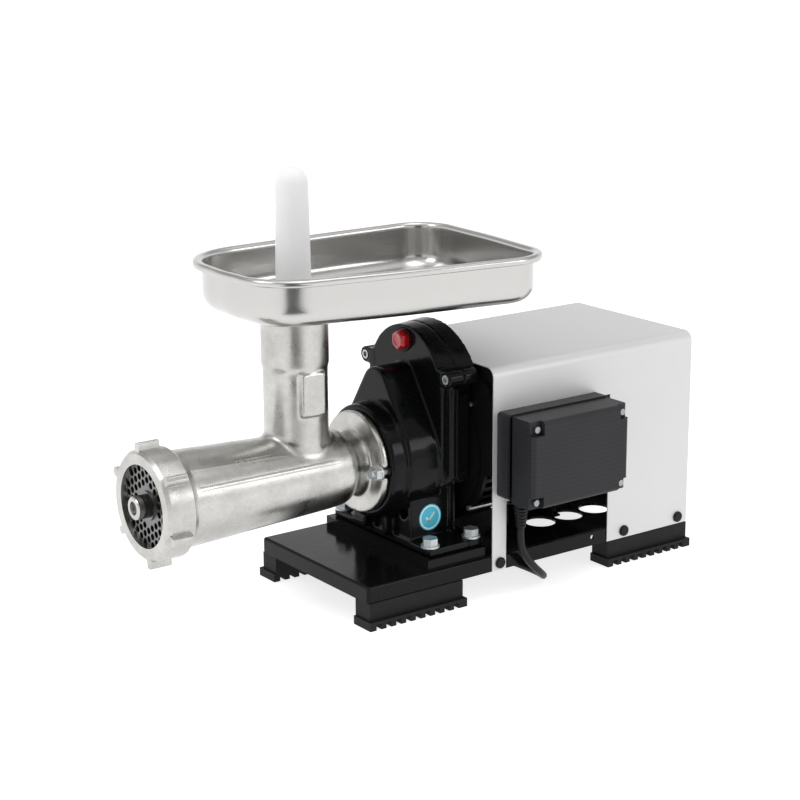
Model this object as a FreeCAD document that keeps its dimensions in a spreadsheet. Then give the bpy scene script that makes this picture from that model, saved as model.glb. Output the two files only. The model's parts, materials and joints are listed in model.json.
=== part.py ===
"""Electric meat grinder with a gear motor, drawn as a parametric assembly.

Lengths are millimetres. X runs along the auger, from the outlet at -X to the
motor at +X. Y = 0 is the plane of the auger, Z = 0 is the surface that the feet
stand on, and X = 0 is the middle of the base plate.
"""
import FreeCAD
import Part
import math
import os
import re
import Sketcher
from FreeCAD import Placement, Rotation, Vector

DIMENSIONS = {
    # heights of the two shaft lines
    "auger_height": 126.5, "lay_height": 179.0,
    # folded base plate, the plate under the gear case and the feet
    "base_front": -193.0, "base_back": 190.6, "base_half": 86.8, "base_top": 39.6,
    "base_depth": 15.0, "base_sheet": 2.0, "vent_radius": 15.0,
    "riser_front": -123.0, "riser_back": -56.3, "riser_half": 82.0, "riser_top": 48.5,
    "foot_length": 108.0, "rear_foot_start": 86.0, "foot_top": 24.4, "foot_lip": 92.0, "foot_inner": 66.0,
    "tooth_pitch": 10.8, "tooth_height": 5.4, "foot_sole": 8.0,
    "bolt_front": -111.0, "bolt_back": -64.0, "bolt_half": 69.0, "bolt_radius": 4.0,
    # gear case
    "case_front": -123.0, "case_face": -89.0, "case_split": -72.0, "case_back": -54.0,
    "case_half": 56.0, "case_floor": 105.0, "shoulder_height": 216.0, "flange_top": 56.3,
    "flange_half": 77.0, "flange_front": -117.0, "boss_radius": 52.5, "boss_front": -140.0,
    "cam_radius": 56.0, "crown_radius": 20.0, "crown_height": 192.5,
    "dome_front_radius": 55.0, "dome_front_height": 192.3,
    "dome_back_radius": 71.0, "dome_back_height": 178.6,
    "pedestal_half": 46.0, "pedestal_front": -116.0,
    "ear_half": 62.6, "ear_height": 207.8, "ear_radius": 7.6, "ear_front": -89.3,
    "recess_half": 34.0, "recess_height": 82.0,
    "plug_height": 234.0, "plug_radius": 9.6,
    # gear train: tooth counts, modules and places along X
    "big_gear_teeth": 56, "small_pinion_teeth": 14, "slow_module": 1.5,
    "lay_gear_teeth": 72, "motor_pinion_teeth": 12, "fast_module": 1.25,
    "slow_front": -105.0, "slow_width": 15.0, "fast_front": -74.0, "fast_width": 10.0,
    "running_gap": 0.03,
    # motor
    "stator_radius": 62.0, "stator_bore": 36.0, "rotor_radius": 35.5, "core_front": -28.0,
    "core_back": 52.0, "shield_radius": 72.0, "shield_half": 84.0, "shield_rim": 66.0, "shield_back": 76.0,
    "rod_offset": 50.0, "shaft_radius": 7.5,
    # stainless cover
    "cover_front": -53.6, "cover_back": 191.9, "cover_half": 87.9, "cover_top": 218.1,
    "cover_foot": 25.0, "cover_sheet": 1.0, "cover_bend": 9.7,
    "notch_front": -37.5, "notch_back": 87.3, "notch_top": 172.0,
    "cap_height": 32.0,
    # terminal box
    "box_front": -49.0, "box_back": 71.7, "box_low": 96.4, "box_high": 177.1,
    "box_depth": 103.5, "lid_front": -45.0, "lid_back": 69.0, "lid_low": 93.5,
    "lid_high": 175.5, "lid_rim": 104.5, "lid_depth": 135.0, "box_wall": 2.5,
    # grinder body
    "nose_front": -358.0, "nose_radius": 44.95, "nose_back": -338.0,
    "barrel_front_radius": 43.4, "barrel_back": -183.0, "barrel_back_radius": 36.8,
    "disc_front": -147.0, "disc_back": -140.0, "disc_radius": 47.9, "hub_radius": 26.0,
    "hub_back": -126.0, "waist_radius": 28.5, "bore_front_radius": 36.0, "bore_back_radius": 31.0,
    "bore_front": -342.0, "bore_back": -168.0, "journal_radius": 14.0,
    "neck_x": -208.5, "neck_radius": 29.0, "collar_radius": 30.2, "collar_low": 229.0,
    "neck_top": 276.7, "neck_bore": 25.6, "pad_half": 12.8, "pad_low": 187.0,
    "pad_high": 225.5, "pad_reach": 31.0,
    "stud_offset": 41.0, "stud_radius": 4.0, "stud_tip": -157.5,
    # cutting set
    "plate_front": -361.0, "plate_back": -353.0, "plate_radius": 41.0,
    "plate_hole": 2.95, "plate_pitch": 7.6, "plate_hub": 13.2, "pin_radius": 10.3,
    "pin_reach": 14.0,
    "knife_front": -352.6, "knife_back": -346.6, "knife_reach": 38.0,
    "auger_pitch": 38.0, "auger_core": 15.2, "auger_gap": 0.8, "square_side": 20.9,
    "hex_flat": 17.0,
    "ring_front": -367.0, "ring_back": -340.0, "ring_aperture": 36.75,
    "ring_radius": 48.8, "lug_reach": 55.4, "lug_width": 7.4,
    # tray and pusher
    "tray_low": 277.0, "tray_top": 321.0, "tray_sheet": 1.2, "tray_swivel": -3.8,
    "tray_bend": 15.0, "rim_overhang": 8.0, "rim_drop": 6.0, "spigot_radius": 25.53,
    "spigot_low": 262.0, "pusher_top": 403.8, "pusher_tip_radius": 14.5,
    "pusher_base_radius": 17.2, "piston_radius": 23.6, "piston_low": 164.0,
    "piston_high": 192.0,
    # mains lead
    "cord_radius": 3.5, "coil_x": 55.0, "coil_y": 150.0, "coil_outer": 49.0,
    "coil_inner": 28.0, "coil_height": 13.6,
}

doc = FreeCAD.newDocument("meat_grinder")
sheet = doc.addObject("Spreadsheet::Sheet", "dims")
for row, (alias, value) in enumerate(DIMENSIONS.items(), 1):
    sheet.set(f"A{row}", alias)
    sheet.set(f"B{row}", str(value))
    sheet.setAlias(f"B{row}", alias)
doc.recompute()

ALONG = {
    "X": Rotation(Vector(0, 1, 0), 90),
    "Y": Rotation(Vector(1, 0, 0), -90),
    "Z": Rotation(),
}
SIDES = (("left", -1), ("right", 1))
nodes = []


def size(alias):
    """The number that a cell of the sheet holds."""
    return float(sheet.get(alias))


def formula(text):
    """Expression text in which every alias points at the sheet."""
    def cell(match):
        word = match.group(0)
        return "dims." + word if word in DIMENSIONS else word
    return re.sub(r"[a-z_]+", cell, str(text))


def bind(thing, **texts):
    for prop, text in texts.items():
        thing.setExpression(prop, formula(text))
    return thing


def put(thing, x, y, z, turn=Rotation()):
    """Bind an object's place to three formulas."""
    thing.Placement = Placement(Vector(), turn)
    for axis, text in zip("xyz", (x, y, z)):
        thing.setExpression("Placement.Base." + axis, formula(text))
    return thing


def block(name, x, y, z):
    """A box between pairs of formulas."""
    box = doc.addObject("Part::Box", name)
    spans = [f"({high})-({low})" for low, high in (x, y, z)]
    bind(box, Length=spans[0], Width=spans[1], Height=spans[2])
    return put(box, x[0], y[0], z[0])


def axis_place(axis, start, centre):
    first, second = centre
    return {"X": (start, first, second), "Y": (first, start, second),
            "Z": (first, second, start)}[axis]


def rod(name, axis, radius, start, end, centre):
    """A cylinder along an axis; centre is its place on the other two axes."""
    bar = doc.addObject("Part::Cylinder", name)
    bind(bar, Radius=radius, Height=f"({end})-({start})")
    return put(bar, *axis_place(axis, start, centre), ALONG[axis])


def taper(name, axis, radius, end_radius, start, end, centre):
    cone = doc.addObject("Part::Cone", name)
    bind(cone, Radius1=radius, Radius2=end_radius, Height=f"({end})-({start})")
    return put(cone, *axis_place(axis, start, centre), ALONG[axis])


def hexagon(name, axis, corner, start, end, centre):
    """A six-sided bar; corner is the radius to its corners."""
    prism = doc.addObject("Part::Prism", name)
    prism.Polygon = 6
    bind(prism, Circumradius=corner, Height=f"({end})-({start})")
    return put(prism, *axis_place(axis, start, centre), ALONG[axis])


def join(name, *pieces):
    fusion = doc.addObject("Part::MultiFuse", name)
    fusion.Shapes = list(pieces)
    return fusion


def cut(name, base, *tools):
    """Take the tools away from the base."""
    tool = tools[0] if len(tools) == 1 else join(name + "_tools", *tools)
    result = doc.addObject("Part::Cut", name)
    result.Base = base
    result.Tool = tool
    return result


def common(name, first, second):
    result = doc.addObject("Part::Common", name)
    result.Base = first
    result.Tool = second
    return result


def group(name, pieces):
    """Identical separate solids that share one node."""
    compound = doc.addObject("Part::Compound", name)
    compound.Links = list(pieces)
    return compound


def rounded(name, base, radius, choose):
    """Fillet the edges that choose() picks."""
    doc.recompute()
    fillet = doc.addObject("Part::Fillet", name)
    fillet.Base = base
    fillet.Edges = [(number, radius, radius)
                    for number, edge in enumerate(base.Shape.Edges, 1) if choose(edge)]
    return fillet


def node(thing, label=None):
    """Mark an object as one of the parts that are written out."""
    thing.Label = label or thing.Name
    nodes.append(thing)
    return thing


def solid_node(label, shape):
    """A part whose shape no feature gives: gears, screw threads and bent tubes."""
    feature = doc.addObject("Part::Feature", label)
    feature.Shape = shape
    return node(feature, label)


def origin_plane(body, role):
    return next(item for item in body.Origin.OriginFeatures if item.Role == role)


def turned(name, axis, outline, x="0", y="0", z="0"):
    """A body of revolution. The outline is (along, radius) formulas on its axis."""
    body = doc.addObject("PartDesign::Body", name)
    sketch = body.newObject("Sketcher::SketchObject", name + "_profile")
    sketch.AttachmentSupport = [(origin_plane(body, "XZ_Plane"), "")]
    sketch.MapMode = "FlatFace"
    rough = [(float(sheet_value(a)), float(sheet_value(r))) for a, r in outline]
    if axis == "Z":
        rough = [(radius, along) for along, radius in rough]
        outline = [(radius, along) for along, radius in outline]
    corners = [Vector(u, v, 0) for u, v in rough]
    count = len(corners)
    for index in range(count):
        sketch.addGeometry(Part.LineSegment(corners[index], corners[(index + 1) % count]))
    for index in range(count):
        following = (index + 1) % count
        sketch.addConstraint(Sketcher.Constraint("Coincident", index, 2, following, 1))
    for index, (across, up) in enumerate(outline):
        for kind, text, number in (("DistanceX", across, rough[index][0]),
                                   ("DistanceY", up, rough[index][1])):
            spot = sketch.addConstraint(Sketcher.Constraint(kind, -1, 1, index, 1, number))
            if re.search("[a-z]", str(text)):
                sketch.setExpression(f"Constraints[{spot}]", formula(text))
    turn = body.newObject("PartDesign::Revolution", name + "_turn")
    turn.Profile = sketch
    turn.ReferenceAxis = (sketch, ["H_Axis" if axis == "X" else "V_Axis"])
    turn.Angle = 360
    body.Tip = turn
    return put(body, x, y, z)


def sheet_value(text):
    """The number that a formula of one or two terms gives: "a", "a + 3" or "a - b"."""
    total = 0.0
    sign = 1.0
    for word in str(text).replace("-", " - ").replace("+", " + ").split():
        if word in "+-":
            sign = 1.0 if word == "+" else -1.0
        else:
            total += sign * (size(word) if word in DIMENSIONS else float(word))
            sign = 1.0
    return total


AUGER = ("0", "auger_height")
LAY = ("0", "lay_height")


# ---------------------------------------------------------------- base and feet
def make_base():
    outer = block("base_blank", ("base_front", "base_back"), ("-base_half", "base_half"),
                  ("base_top - base_depth", "base_top"))
    outer = rounded("base_folded", outer, 2.6,
                    lambda edge: edge.BoundBox.ZMin > size("base_top") - 0.1
                    or edge.BoundBox.ZLength > size("base_depth") - 0.1)
    inner = block("base_hollow", ("base_front + base_sheet", "base_back - base_sheet"),
                  ("base_sheet - base_half", "base_half - base_sheet"),
                  ("base_top - base_depth - 1", "base_top - base_sheet"))
    tools = [inner]
    for number, (along, side) in enumerate(bolt_places()):
        tools.append(rod(f"base_bolt_hole_{number}", "Z", "bolt_radius + 0.4",
                         "base_top - 5", "base_top + 1", (along, side)))
    for number, along in enumerate((47.0, 81.5, 116.0)):
        for side in (-36, 36):
            tools.append(rod(f"vent_{number}", "Z", "vent_radius", "base_top - 5",
                             "base_top + 1", (along, side)))
    for number, along in enumerate(COVER_SCREWS):
        tools.append(rod(f"base_side_hole_{number}", "Y", "2.2", "-base_half - 1",
                         "base_half + 1", (along, "cap_height")))
    tools.append(rod("spare_hole", "Y", "2.2", "-base_half - 1", "3 - base_half",
                     ("69.5", "cap_height + 0.9")))
    node(cut("base_plate", outer, *tools))


COVER_SCREWS = ("-44.5", "108.7", "179.8")


def bolt_places():
    return [(along, f"{side} * bolt_half") for along in ("bolt_front", "bolt_back")
            for side in (-1, 1)]


def make_feet():
    """Rubber strips that grip the edge of the base, with a comb cut in the sole."""
    for end, start in (("front", "base_front - 1"), ("rear", "rear_foot_start")):
        for side_name, side in SIDES:
            name = f"foot_{end}_{side_name}"
            wide = sorted_pair("foot_inner", "base_half + 1.2", side)
            sole = block(name + "_sole", (start, f"{start} + foot_length"),
                         sorted_pair("foot_inner", "foot_lip", side),
                         ("0", "foot_sole"))
            wall = block(name + "_wall", (f"{start} + 2", f"{start} + foot_length - 2"),
                         wide, ("foot_sole", "foot_top"))
            tongue = block(name + "_tongue", (f"{start} + 6", f"{start} + foot_length - 6"),
                           sorted_pair("base_half - 9", "base_half - 2.2", side),
                           ("foot_top", "base_top - 3"))
            combs = [block(f"{name}_comb_{index}",
                           (f"{start} + {index} * tooth_pitch + 6.6",
                            f"{start} + {index} * tooth_pitch + 12"),
                           sorted_pair("foot_inner - 1", "foot_lip + 1", side),
                           ("-1", "tooth_height")) for index in range(9)]
            node(cut(name, join(name + "_blank", sole, wall, tongue), *combs))


def sorted_pair(near, far, side):
    """The span between two distances from the middle plane, on one side of it."""
    if side > 0:
        return (near, far)
    return (f"-({far})", f"-({near})")


def make_riser():
    slab = block("riser_blank", ("riser_front", "riser_back"),
                 ("-riser_half", "riser_half"), ("base_top", "riser_top"))
    holes = [rod(f"riser_hole_{number}", "Z", "bolt_radius + 0.4", "base_top - 1",
                 "riser_top + 1", place) for number, place in enumerate(bolt_places())]
    node(cut("riser_plate", slab, *holes))


def make_foot_bolts():
    bolts = []
    nuts = []
    for number, place in enumerate(bolt_places()):
        shank = rod(f"bolt_shank_{number}", "Z", "bolt_radius", "base_top - 11",
                    "flange_top + 1", place)
        washer = rod(f"bolt_washer_{number}", "Z", "8.6", "flange_top", "flange_top + 1.8",
                     place)
        head = hexagon(f"bolt_head_{number}", "Z", "7.3", "flange_top + 1.8",
                       "flange_top + 8.4", place)
        bolts.append(join(f"bolt_{number}", shank, washer, head))
        nut = hexagon(f"nut_blank_{number}", "Z", "7.5", "base_top - 8.6",
                      "base_top - base_sheet", place)
        nuts.append(cut(f"nut_{number}", nut, rod(f"nut_bore_{number}", "Z",
                                                  "bolt_radius + 0.02", "base_top - 9.6",
                                                  "base_top", place)))
    node(group("gearbox_bolts", bolts))
    node(group("gearbox_bolt_nuts", nuts))


# -------------------------------------------------------------------- gear case
def outline_pad(name, wire_maker, start, end):
    """A flat outline in the Y-Z plane, extruded along X as a feature."""
    face = doc.addObject("Part::Feature", name + "_outline")
    face.Shape = Part.Face(wire_maker())
    pad = doc.addObject("Part::Extrusion", name)
    pad.Base = face
    pad.DirMode = "Custom"
    pad.Dir = Vector(1, 0, 0)
    pad.Solid = True
    bind(pad, LengthFwd=f"({end})-({start})")
    return put(pad, start, "0", "0")


def teardrop(low_radius, low_height, high_radius, high_height):
    """The belt line round a large lower circle and a small upper one."""
    spread = math.asin((low_radius - high_radius) / (high_height - low_height))
    across, up = math.cos(spread), math.sin(spread)
    edges = []
    low_right = Vector(0, low_radius * across, low_height + low_radius * up)
    high_right = Vector(0, high_radius * across, high_height + high_radius * up)
    low_left = Vector(0, -low_right.y, low_right.z)
    high_left = Vector(0, -high_right.y, high_right.z)
    edges.append(Part.LineSegment(low_right, high_right).toShape())
    edges.append(Part.Arc(high_right, Vector(0, 0, high_height + high_radius),
                          high_left).toShape())
    edges.append(Part.LineSegment(high_left, low_left).toShape())
    edges.append(Part.Arc(low_left, Vector(0, 0, low_height - low_radius),
                          low_right).toShape())
    return Part.Wire(edges)


def cam_outline():
    return teardrop(size("cam_radius"), size("auger_height"), size("crown_radius"),
                    size("crown_height"))


def dome_section(name, share, x):
    """One circle of the dome, part of the way from its front to its back."""
    ring = doc.addObject("Part::Circle", name)
    radius = f"dome_front_radius + {share} * (dome_back_radius - dome_front_radius)"
    height = f"dome_front_height + {share} * (dome_back_height - dome_front_height)"
    bind(ring, Radius=radius)
    return put(ring, x, "0", height, ALONG["X"])


def dome(name, shares, start, end):
    """The round top of the case between two planes, above its shoulder."""
    loft = doc.addObject("Part::Loft", name + "_loft")
    loft.Sections = [dome_section(f"{name}_{tag}", share, x)
                     for tag, share, x in zip(("near", "far"), shares, (start, end))]
    loft.Solid = True
    loft.Ruled = True
    top = block(name + "_keep", (start, end), ("-90", "90"), ("shoulder_height - 3", "260"))
    return common(name, loft, top)


def ears(name, start, end):
    pieces = []
    for side_name, side in SIDES:
        pieces.append(rod(f"{name}_{side_name}", "X", "ear_radius", start, end,
                          (f"{side} * ear_half", "ear_height")))
        pieces.append(block(f"{name}_web_{side_name}", (start, end),
                            sorted_pair("case_half - 8", "ear_half - 2", side),
                            ("ear_height - ear_radius", "ear_height + ear_radius - 0.6")))
    return pieces


def screw_holes(name, start, end, radius):
    """Bores of the four screws that hold the two halves of the case together."""
    return [rod(f"{name}_{number}", "X", radius, start, end, place)
            for number, place in enumerate(case_screw_places())]


def case_screw_places():
    return [(f"{side} * {half}", height) for half, height in
            (("ear_half", "ear_height"), ("recess_half", "recess_height"))
            for side in (-1, 1)]


def make_front_half():
    body = block("front_block", ("case_face", "case_split"), ("-case_half", "case_half"),
                 ("case_floor - 2", "shoulder_height"))
    body = rounded("front_block_soft", body, 5.0,
                   lambda edge: edge.BoundBox.XLength > 10)
    lip = block("rim_blank", ("case_split - 4.5", "case_split"),
                ("-case_half - 1.6", "case_half + 1.6"), ("case_floor + 6", "196"))
    bead = block("bead_blank", ("case_face", "case_face + 3.5"),
                 ("-case_half - 1.2", "case_half + 1.2"), ("case_floor + 6", "196"))
    cam = outline_pad("cam", cam_outline, "case_front", "case_face + 5")
    cam = rounded("cam_soft", cam, 2.2,
                  lambda edge: edge.BoundBox.XMax < size("case_front") + 0.1)
    boss = rod("hub_boss", "X", "boss_radius", "boss_front", "case_front + 2", AUGER)
    boss = rounded("hub_boss_soft", boss, 3.0,
                   lambda edge: edge.BoundBox.XMax < size("boss_front") + 0.1)
    pedestal = block("pedestal_block", ("pedestal_front", "case_split"),
                     ("-pedestal_half", "pedestal_half"), ("flange_top - 1", "auger_height"))
    flange = block("foot_flange", ("flange_front", "case_split"),
                   ("-flange_half", "flange_half"), ("riser_top", "flange_top"))
    ribs = [block(f"front_rib_{side_name}", ("boss_front + 15", "pedestal_front + 1"),
                  sorted_pair("13", "19", side), ("flange_top - 1", "auger_height - 44"))
            for side_name, side in SIDES]
    shell = join("front_half_blank", body, lip, bead, cam, boss, pedestal, flange,
                 dome("front_dome", (0, 0.486), "case_face", "case_split"),
                 *ears("front_ear", "ear_front", "case_split"), *ribs)
    tools = [
        rod("gear_room", "X", "46", "slow_front - 2", "-89", AUGER),
        rod("pinion_room", "X", "15", "slow_front - 4", "-89", LAY),
        rod("fast_room", "X", "49", "-79", "case_split + 1", LAY),
        rod("motor_pinion_room", "X", "12", "-79", "case_split + 1", AUGER),
        rod("shaft_room", "X", "20", "-109", "slow_front", AUGER),
        rod("front_bearing_seat", "X", "27.5", "-122", "-107", AUGER),
        rod("seal_seat", "X", "hub_radius + 0.05", "disc_back - 1", "-121", AUGER),
        rod("web_bearing_seat", "X", "16", "-87", "-78", AUGER),
        rod("web_bore", "X", "12", "-90", "-86", AUGER),
        rod("lay_bearing_seat", "X", "14", "-117", "-108", LAY),
        rod("lay_web_bore", "X", "13", "-90", "-78", LAY),
        block("belly", ("-106", "case_split + 1"), ("-38", "38"), ("flange_top + 6", "79")),
        *[rod(f"ear_recess_{side_name}", "X", "5", "ear_front - 1", "ear_front + 5.6",
              (f"{side} * ear_half", "ear_height")) for side_name, side in SIDES],
        rod("filler_hole", "X", "6.1", "case_face - 1", "-78", ("0", "plug_height")),
        rod("filler_recess", "X", "11.2", "case_face - 1", "case_face + 1.2",
            ("0", "plug_height")),
        *screw_holes("front_screw_hole", "-120", "case_split + 1", "3.3"),
        *[rod(f"screw_well_{side_name}", "X", "6.5", "-120", "-100",
              (f"{side} * recess_half", "recess_height")) for side_name, side in SIDES],
        rod("front_foot_hole_left", "Z", "bolt_radius + 0.4", "riser_top - 1",
            "flange_top + 1", ("bolt_front", "-bolt_half")),
        rod("front_foot_hole_right", "Z", "bolt_radius + 0.4", "riser_top - 1",
            "flange_top + 1", ("bolt_front", "bolt_half")),
        *[rod(f"clamp_bore_{side}", "X", "stud_radius + 0.02", "disc_back - 1", "-123",
              place) for side, place in stud_places()],
    ]
    node(cut("gearbox_front_half", shell, *tools))


def make_rear_half():
    body = block("rear_block", ("case_split", "case_back"),
                 ("-case_half + 2", "case_half - 2"), ("case_floor", "shoulder_height - 1"))
    lip = block("rear_rim", ("case_split", "case_split + 4.5"),
                ("-case_half - 1.6", "case_half + 1.6"), ("case_floor + 6", "196"))
    fins = [block(f"side_panel_{side_name}", ("case_split + 6", "case_split + 15"),
                  sorted_pair("case_half - 4", "case_half + 0.6", side),
                  ("case_floor + 8", "190")) for side_name, side in SIDES]
    pedestal = block("rear_pedestal", ("case_split", "-64.5"),
                     ("-pedestal_half", "pedestal_half"), ("flange_top - 1", "auger_height"))
    flange = block("rear_flange", ("case_split", "riser_back"),
                   ("-flange_half", "flange_half"), ("riser_top", "flange_top"))
    shell = join("rear_half_blank", body, lip, *fins, pedestal, flange,
                 dome("rear_dome", (0.486, 1), "case_split", "case_back"),
                 *ears("rear_ear", "case_split", "case_back - 2"))
    tools = [
        rod("rear_fast_room", "X", "49", "case_split - 1", "-62.5", LAY),
        rod("rear_pinion_room", "X", "12", "case_split - 1", "-62.5", AUGER),
        rod("rear_lay_seat", "X", "14", "-63.5", "case_back - 1.5", LAY),
        rod("rotor_bearing_seat", "X", "16", "-62", "case_back + 1", AUGER),
        rod("rotor_bore", "X", "11", "-64", "-60", AUGER),
        block("rear_belly", ("case_split - 1", "-69"), ("-38", "38"),
              ("flange_top + 6", "79")),
        *screw_holes("rear_screw_hole", "case_split - 1", "-60", "2.55"),
        rod("rear_foot_hole_left", "Z", "bolt_radius + 0.4", "riser_top - 1",
            "flange_top + 1", ("bolt_back", "-bolt_half")),
        rod("rear_foot_hole_right", "Z", "bolt_radius + 0.4", "riser_top - 1",
            "flange_top + 1", ("bolt_back", "bolt_half")),
    ]
    node(cut("gearbox_rear_half", shell, *tools))


def make_case_screws():
    """Socket-head screws: two in the ears and two in wells under the hub."""
    screws = []
    for number, (place, head_back) in enumerate(zip(
            case_screw_places(), ("ear_front + 5.6", "ear_front + 5.6", "-100", "-100"))):
        shank = rod(f"case_shank_{number}", "X", "2.53", f"{head_back} - 1", "-61", place)
        head = rod(f"case_head_{number}", "X", "4.4", f"{head_back} - 5.6", head_back, place)
        socket = hexagon(f"case_socket_{number}", "X", "2.9", f"{head_back} - 6.6",
                         f"{head_back} - 2.8", place)
        screws.append(cut(f"case_screw_{number}", join(f"case_blank_{number}", shank, head),
                          socket))
    node(group("gearbox_screws", screws))


def make_filler_plug():
    stem = rod("plug_stem", "X", "6", "case_face - 1", "case_face + 7", ("0", "plug_height"))
    head = hexagon("plug_head", "X", "plug_radius", "case_face - 8.6", "case_face - 0.6",
                   ("0", "plug_height"))
    node(join("oil_filler_plug", stem, head))
    ring = rod("plug_ring_blank", "X", "10.6", "case_face - 0.6", "case_face + 1.2",
               ("0", "plug_height"))
    node(cut("filler_plug_seal", ring, rod("plug_ring_bore", "X", "6.05", "case_face - 2",
                                           "case_face + 3", ("0", "plug_height"))))


def make_sticker():
    node(rod("check_sticker", "Y", "12.5", "-pedestal_half - 0.4", "-pedestal_half",
             ("-94", "75")))


# ------------------------------------------------------------------- gear train
def involute(angle):
    return math.tan(angle) - angle


def gear_wire(teeth, module, phase, backlash=0.12, pressure=25.0, flank_steps=4):
    """Outline of a spur gear in the Y-Z plane, a tooth centred on the phase angle."""
    pitch = teeth * module / 2
    base = pitch * math.cos(math.radians(pressure))
    tip = pitch + 0.85 * module
    root = pitch - 1.1 * module
    half = math.pi / (2 * teeth) - backlash / (2 * pitch) + involute(math.radians(pressure))
    low = max(base, root)
    flank = []
    for step in range(flank_steps + 1):
        radius = low + (tip - low) * step / flank_steps
        roll = math.acos(min(1.0, base / radius))
        flank.append((radius, half - involute(roll)))
    if root < base - 0.01:
        flank.insert(0, (root, flank[0][1]))
    corners = []
    for tooth in range(teeth):
        middle = math.radians(phase) + 2 * math.pi * tooth / teeth
        for radius, angle in flank:
            corners.append((radius, middle - angle))
        for radius, angle in reversed(flank):
            corners.append((radius, middle + angle))
    spots = [Vector(0, radius * math.cos(angle), radius * math.sin(angle))
             for radius, angle in corners]
    return Part.makePolygon(spots + spots[:1])


def gear_solid(teeth, module, phase, start, width, height, bore):
    wire = gear_wire(int(size(teeth)), size(module), phase)
    gear = Part.Face(wire).extrude(Vector(width, 0, 0))
    hole = Part.makeCylinder(bore, width + 2, Vector(-1, 0, 0), Vector(1, 0, 0))
    gear = gear.cut(hole)
    gear.translate(Vector(start, 0, height))
    return gear


def make_gears():
    """Both pairs mesh on the vertical line through the two shafts."""
    slow, fast = size("slow_module"), size("fast_module")
    small_step = 360.0 / size("small_pinion_teeth")
    motor_step = 360.0 / size("motor_pinion_teeth")
    solid_node("output_gear", gear_solid(
        "big_gear_teeth", "slow_module", 90, size("slow_front"), size("slow_width"),
        size("auger_height"), 12.5))
    solid_node("layshaft_gear", gear_solid(
        "lay_gear_teeth", "fast_module", -90, size("fast_front"), size("fast_width"),
        size("lay_height"), 7.0))
    pinion = gear_solid("small_pinion_teeth", "slow_module", -90 + small_step / 2,
                        size("slow_front"), size("slow_width"), size("lay_height"), 5.0)
    shaft = stepped_shaft(size("lay_height"), ((-116.5, 6), (-108, 7), (-104, 7),
                                               (-64.5, 6), (-56, 6)))
    solid_node("layshaft", pinion.fuse(shaft).removeSplitter())
    pinion = gear_solid("motor_pinion_teeth", "fast_module", 90 + motor_step / 2,
                        size("fast_front") - 0.5, size("fast_width") + 1,
                        size("auger_height"), 3.0)
    shaft = stepped_shaft(size("auger_height"), (
        (-75.5, 5), (-62, size("shaft_radius")), (size("shield_back") + 16, 5),
        (size("shield_back") + 34, 5)))
    solid_node("rotor_shaft", pinion.fuse(shaft).removeSplitter())
    assert abs(slow * (size("big_gear_teeth") + size("small_pinion_teeth")) / 2
               - (size("lay_height") - size("auger_height"))) < 0.01
    assert abs(fast * (size("lay_gear_teeth") + size("motor_pinion_teeth")) / 2
               - (size("lay_height") - size("auger_height"))) < 0.01


def stepped_shaft(height, steps):
    """Cylinders on one X axis: each step is (start, radius) and ends at the next."""
    pieces = [Part.makeCylinder(radius, following[0] - start, Vector(start, 0, height),
                                Vector(1, 0, 0))
              for (start, radius), following in zip(steps, steps[1:])]
    return pieces[0].multiFuse(pieces[1:])


def make_output_shaft():
    """Hollow shaft whose front end drives the hexagon of the auger."""
    journal = rod("output_journal", "X", "15", "hub_back + 0.4", "-107", AUGER)
    seat = rod("output_seat", "X", "12.5", "-107.5", "-90", AUGER)
    tail = rod("output_tail", "X", "10", "-90.5", "-80", AUGER)
    flats = hexagon("output_socket", "X", "(hex_flat + 0.2) / 1.7320508", "-127", "-109",
                    AUGER)
    node(cut("output_shaft", join("output_blank", journal, seat, tail), flats))


def bearing(name, outer, inner, start, end, centre):
    """A sealed ball bearing as one ring with grooves for its shields."""
    ring = rod(name + "_ring", "X", outer, start, end, centre)
    bore = rod(name + "_bore", "X", f"{inner} + running_gap", f"{start} - 1", f"{end} + 1",
               centre)
    middle = f"({outer} + {inner}) / 2"
    grooves = []
    for tag, low, high in (("a", f"{start} - 1", f"{start} + 0.5"),
                           ("b", f"{end} - 0.5", f"{end} + 1")):
        wide = rod(f"{name}_wide_{tag}", "X", f"{middle} + 2", low, high, centre)
        grooves.append(cut(f"{name}_groove_{tag}", wide,
                           rod(f"{name}_core_{tag}", "X", f"{middle} - 2", low, high,
                               centre)))
    return cut(name, ring, bore, *grooves)


def make_bearings():
    node(group("output_bearings", [
        bearing("output_bearing_front", "27.5", "15", "-120", "-108", AUGER),
        bearing("output_bearing_rear", "16", "10", "-87", "-80", AUGER)]))
    node(group("layshaft_bearings", [
        bearing("layshaft_bearing_front", "14", "6", "-117", "-109", LAY),
        bearing("layshaft_bearing_rear", "14", "6", "-63", "-56", LAY)]))
    node(group("rotor_bearings", [
        bearing("rotor_bearing_front", "16", "shaft_radius", "-61.5", "-54", AUGER),
        bearing("rotor_bearing_rear", "16", "shaft_radius", "shield_back - 10",
                "shield_back - 1", AUGER)]))
    ring = rod("seal_ring", "X", "hub_radius - 0.5", "-125.5", "-121.5", AUGER)
    node(cut("output_seal", ring, rod("seal_bore", "X", "15.05", "-127", "-120", AUGER)))


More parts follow.
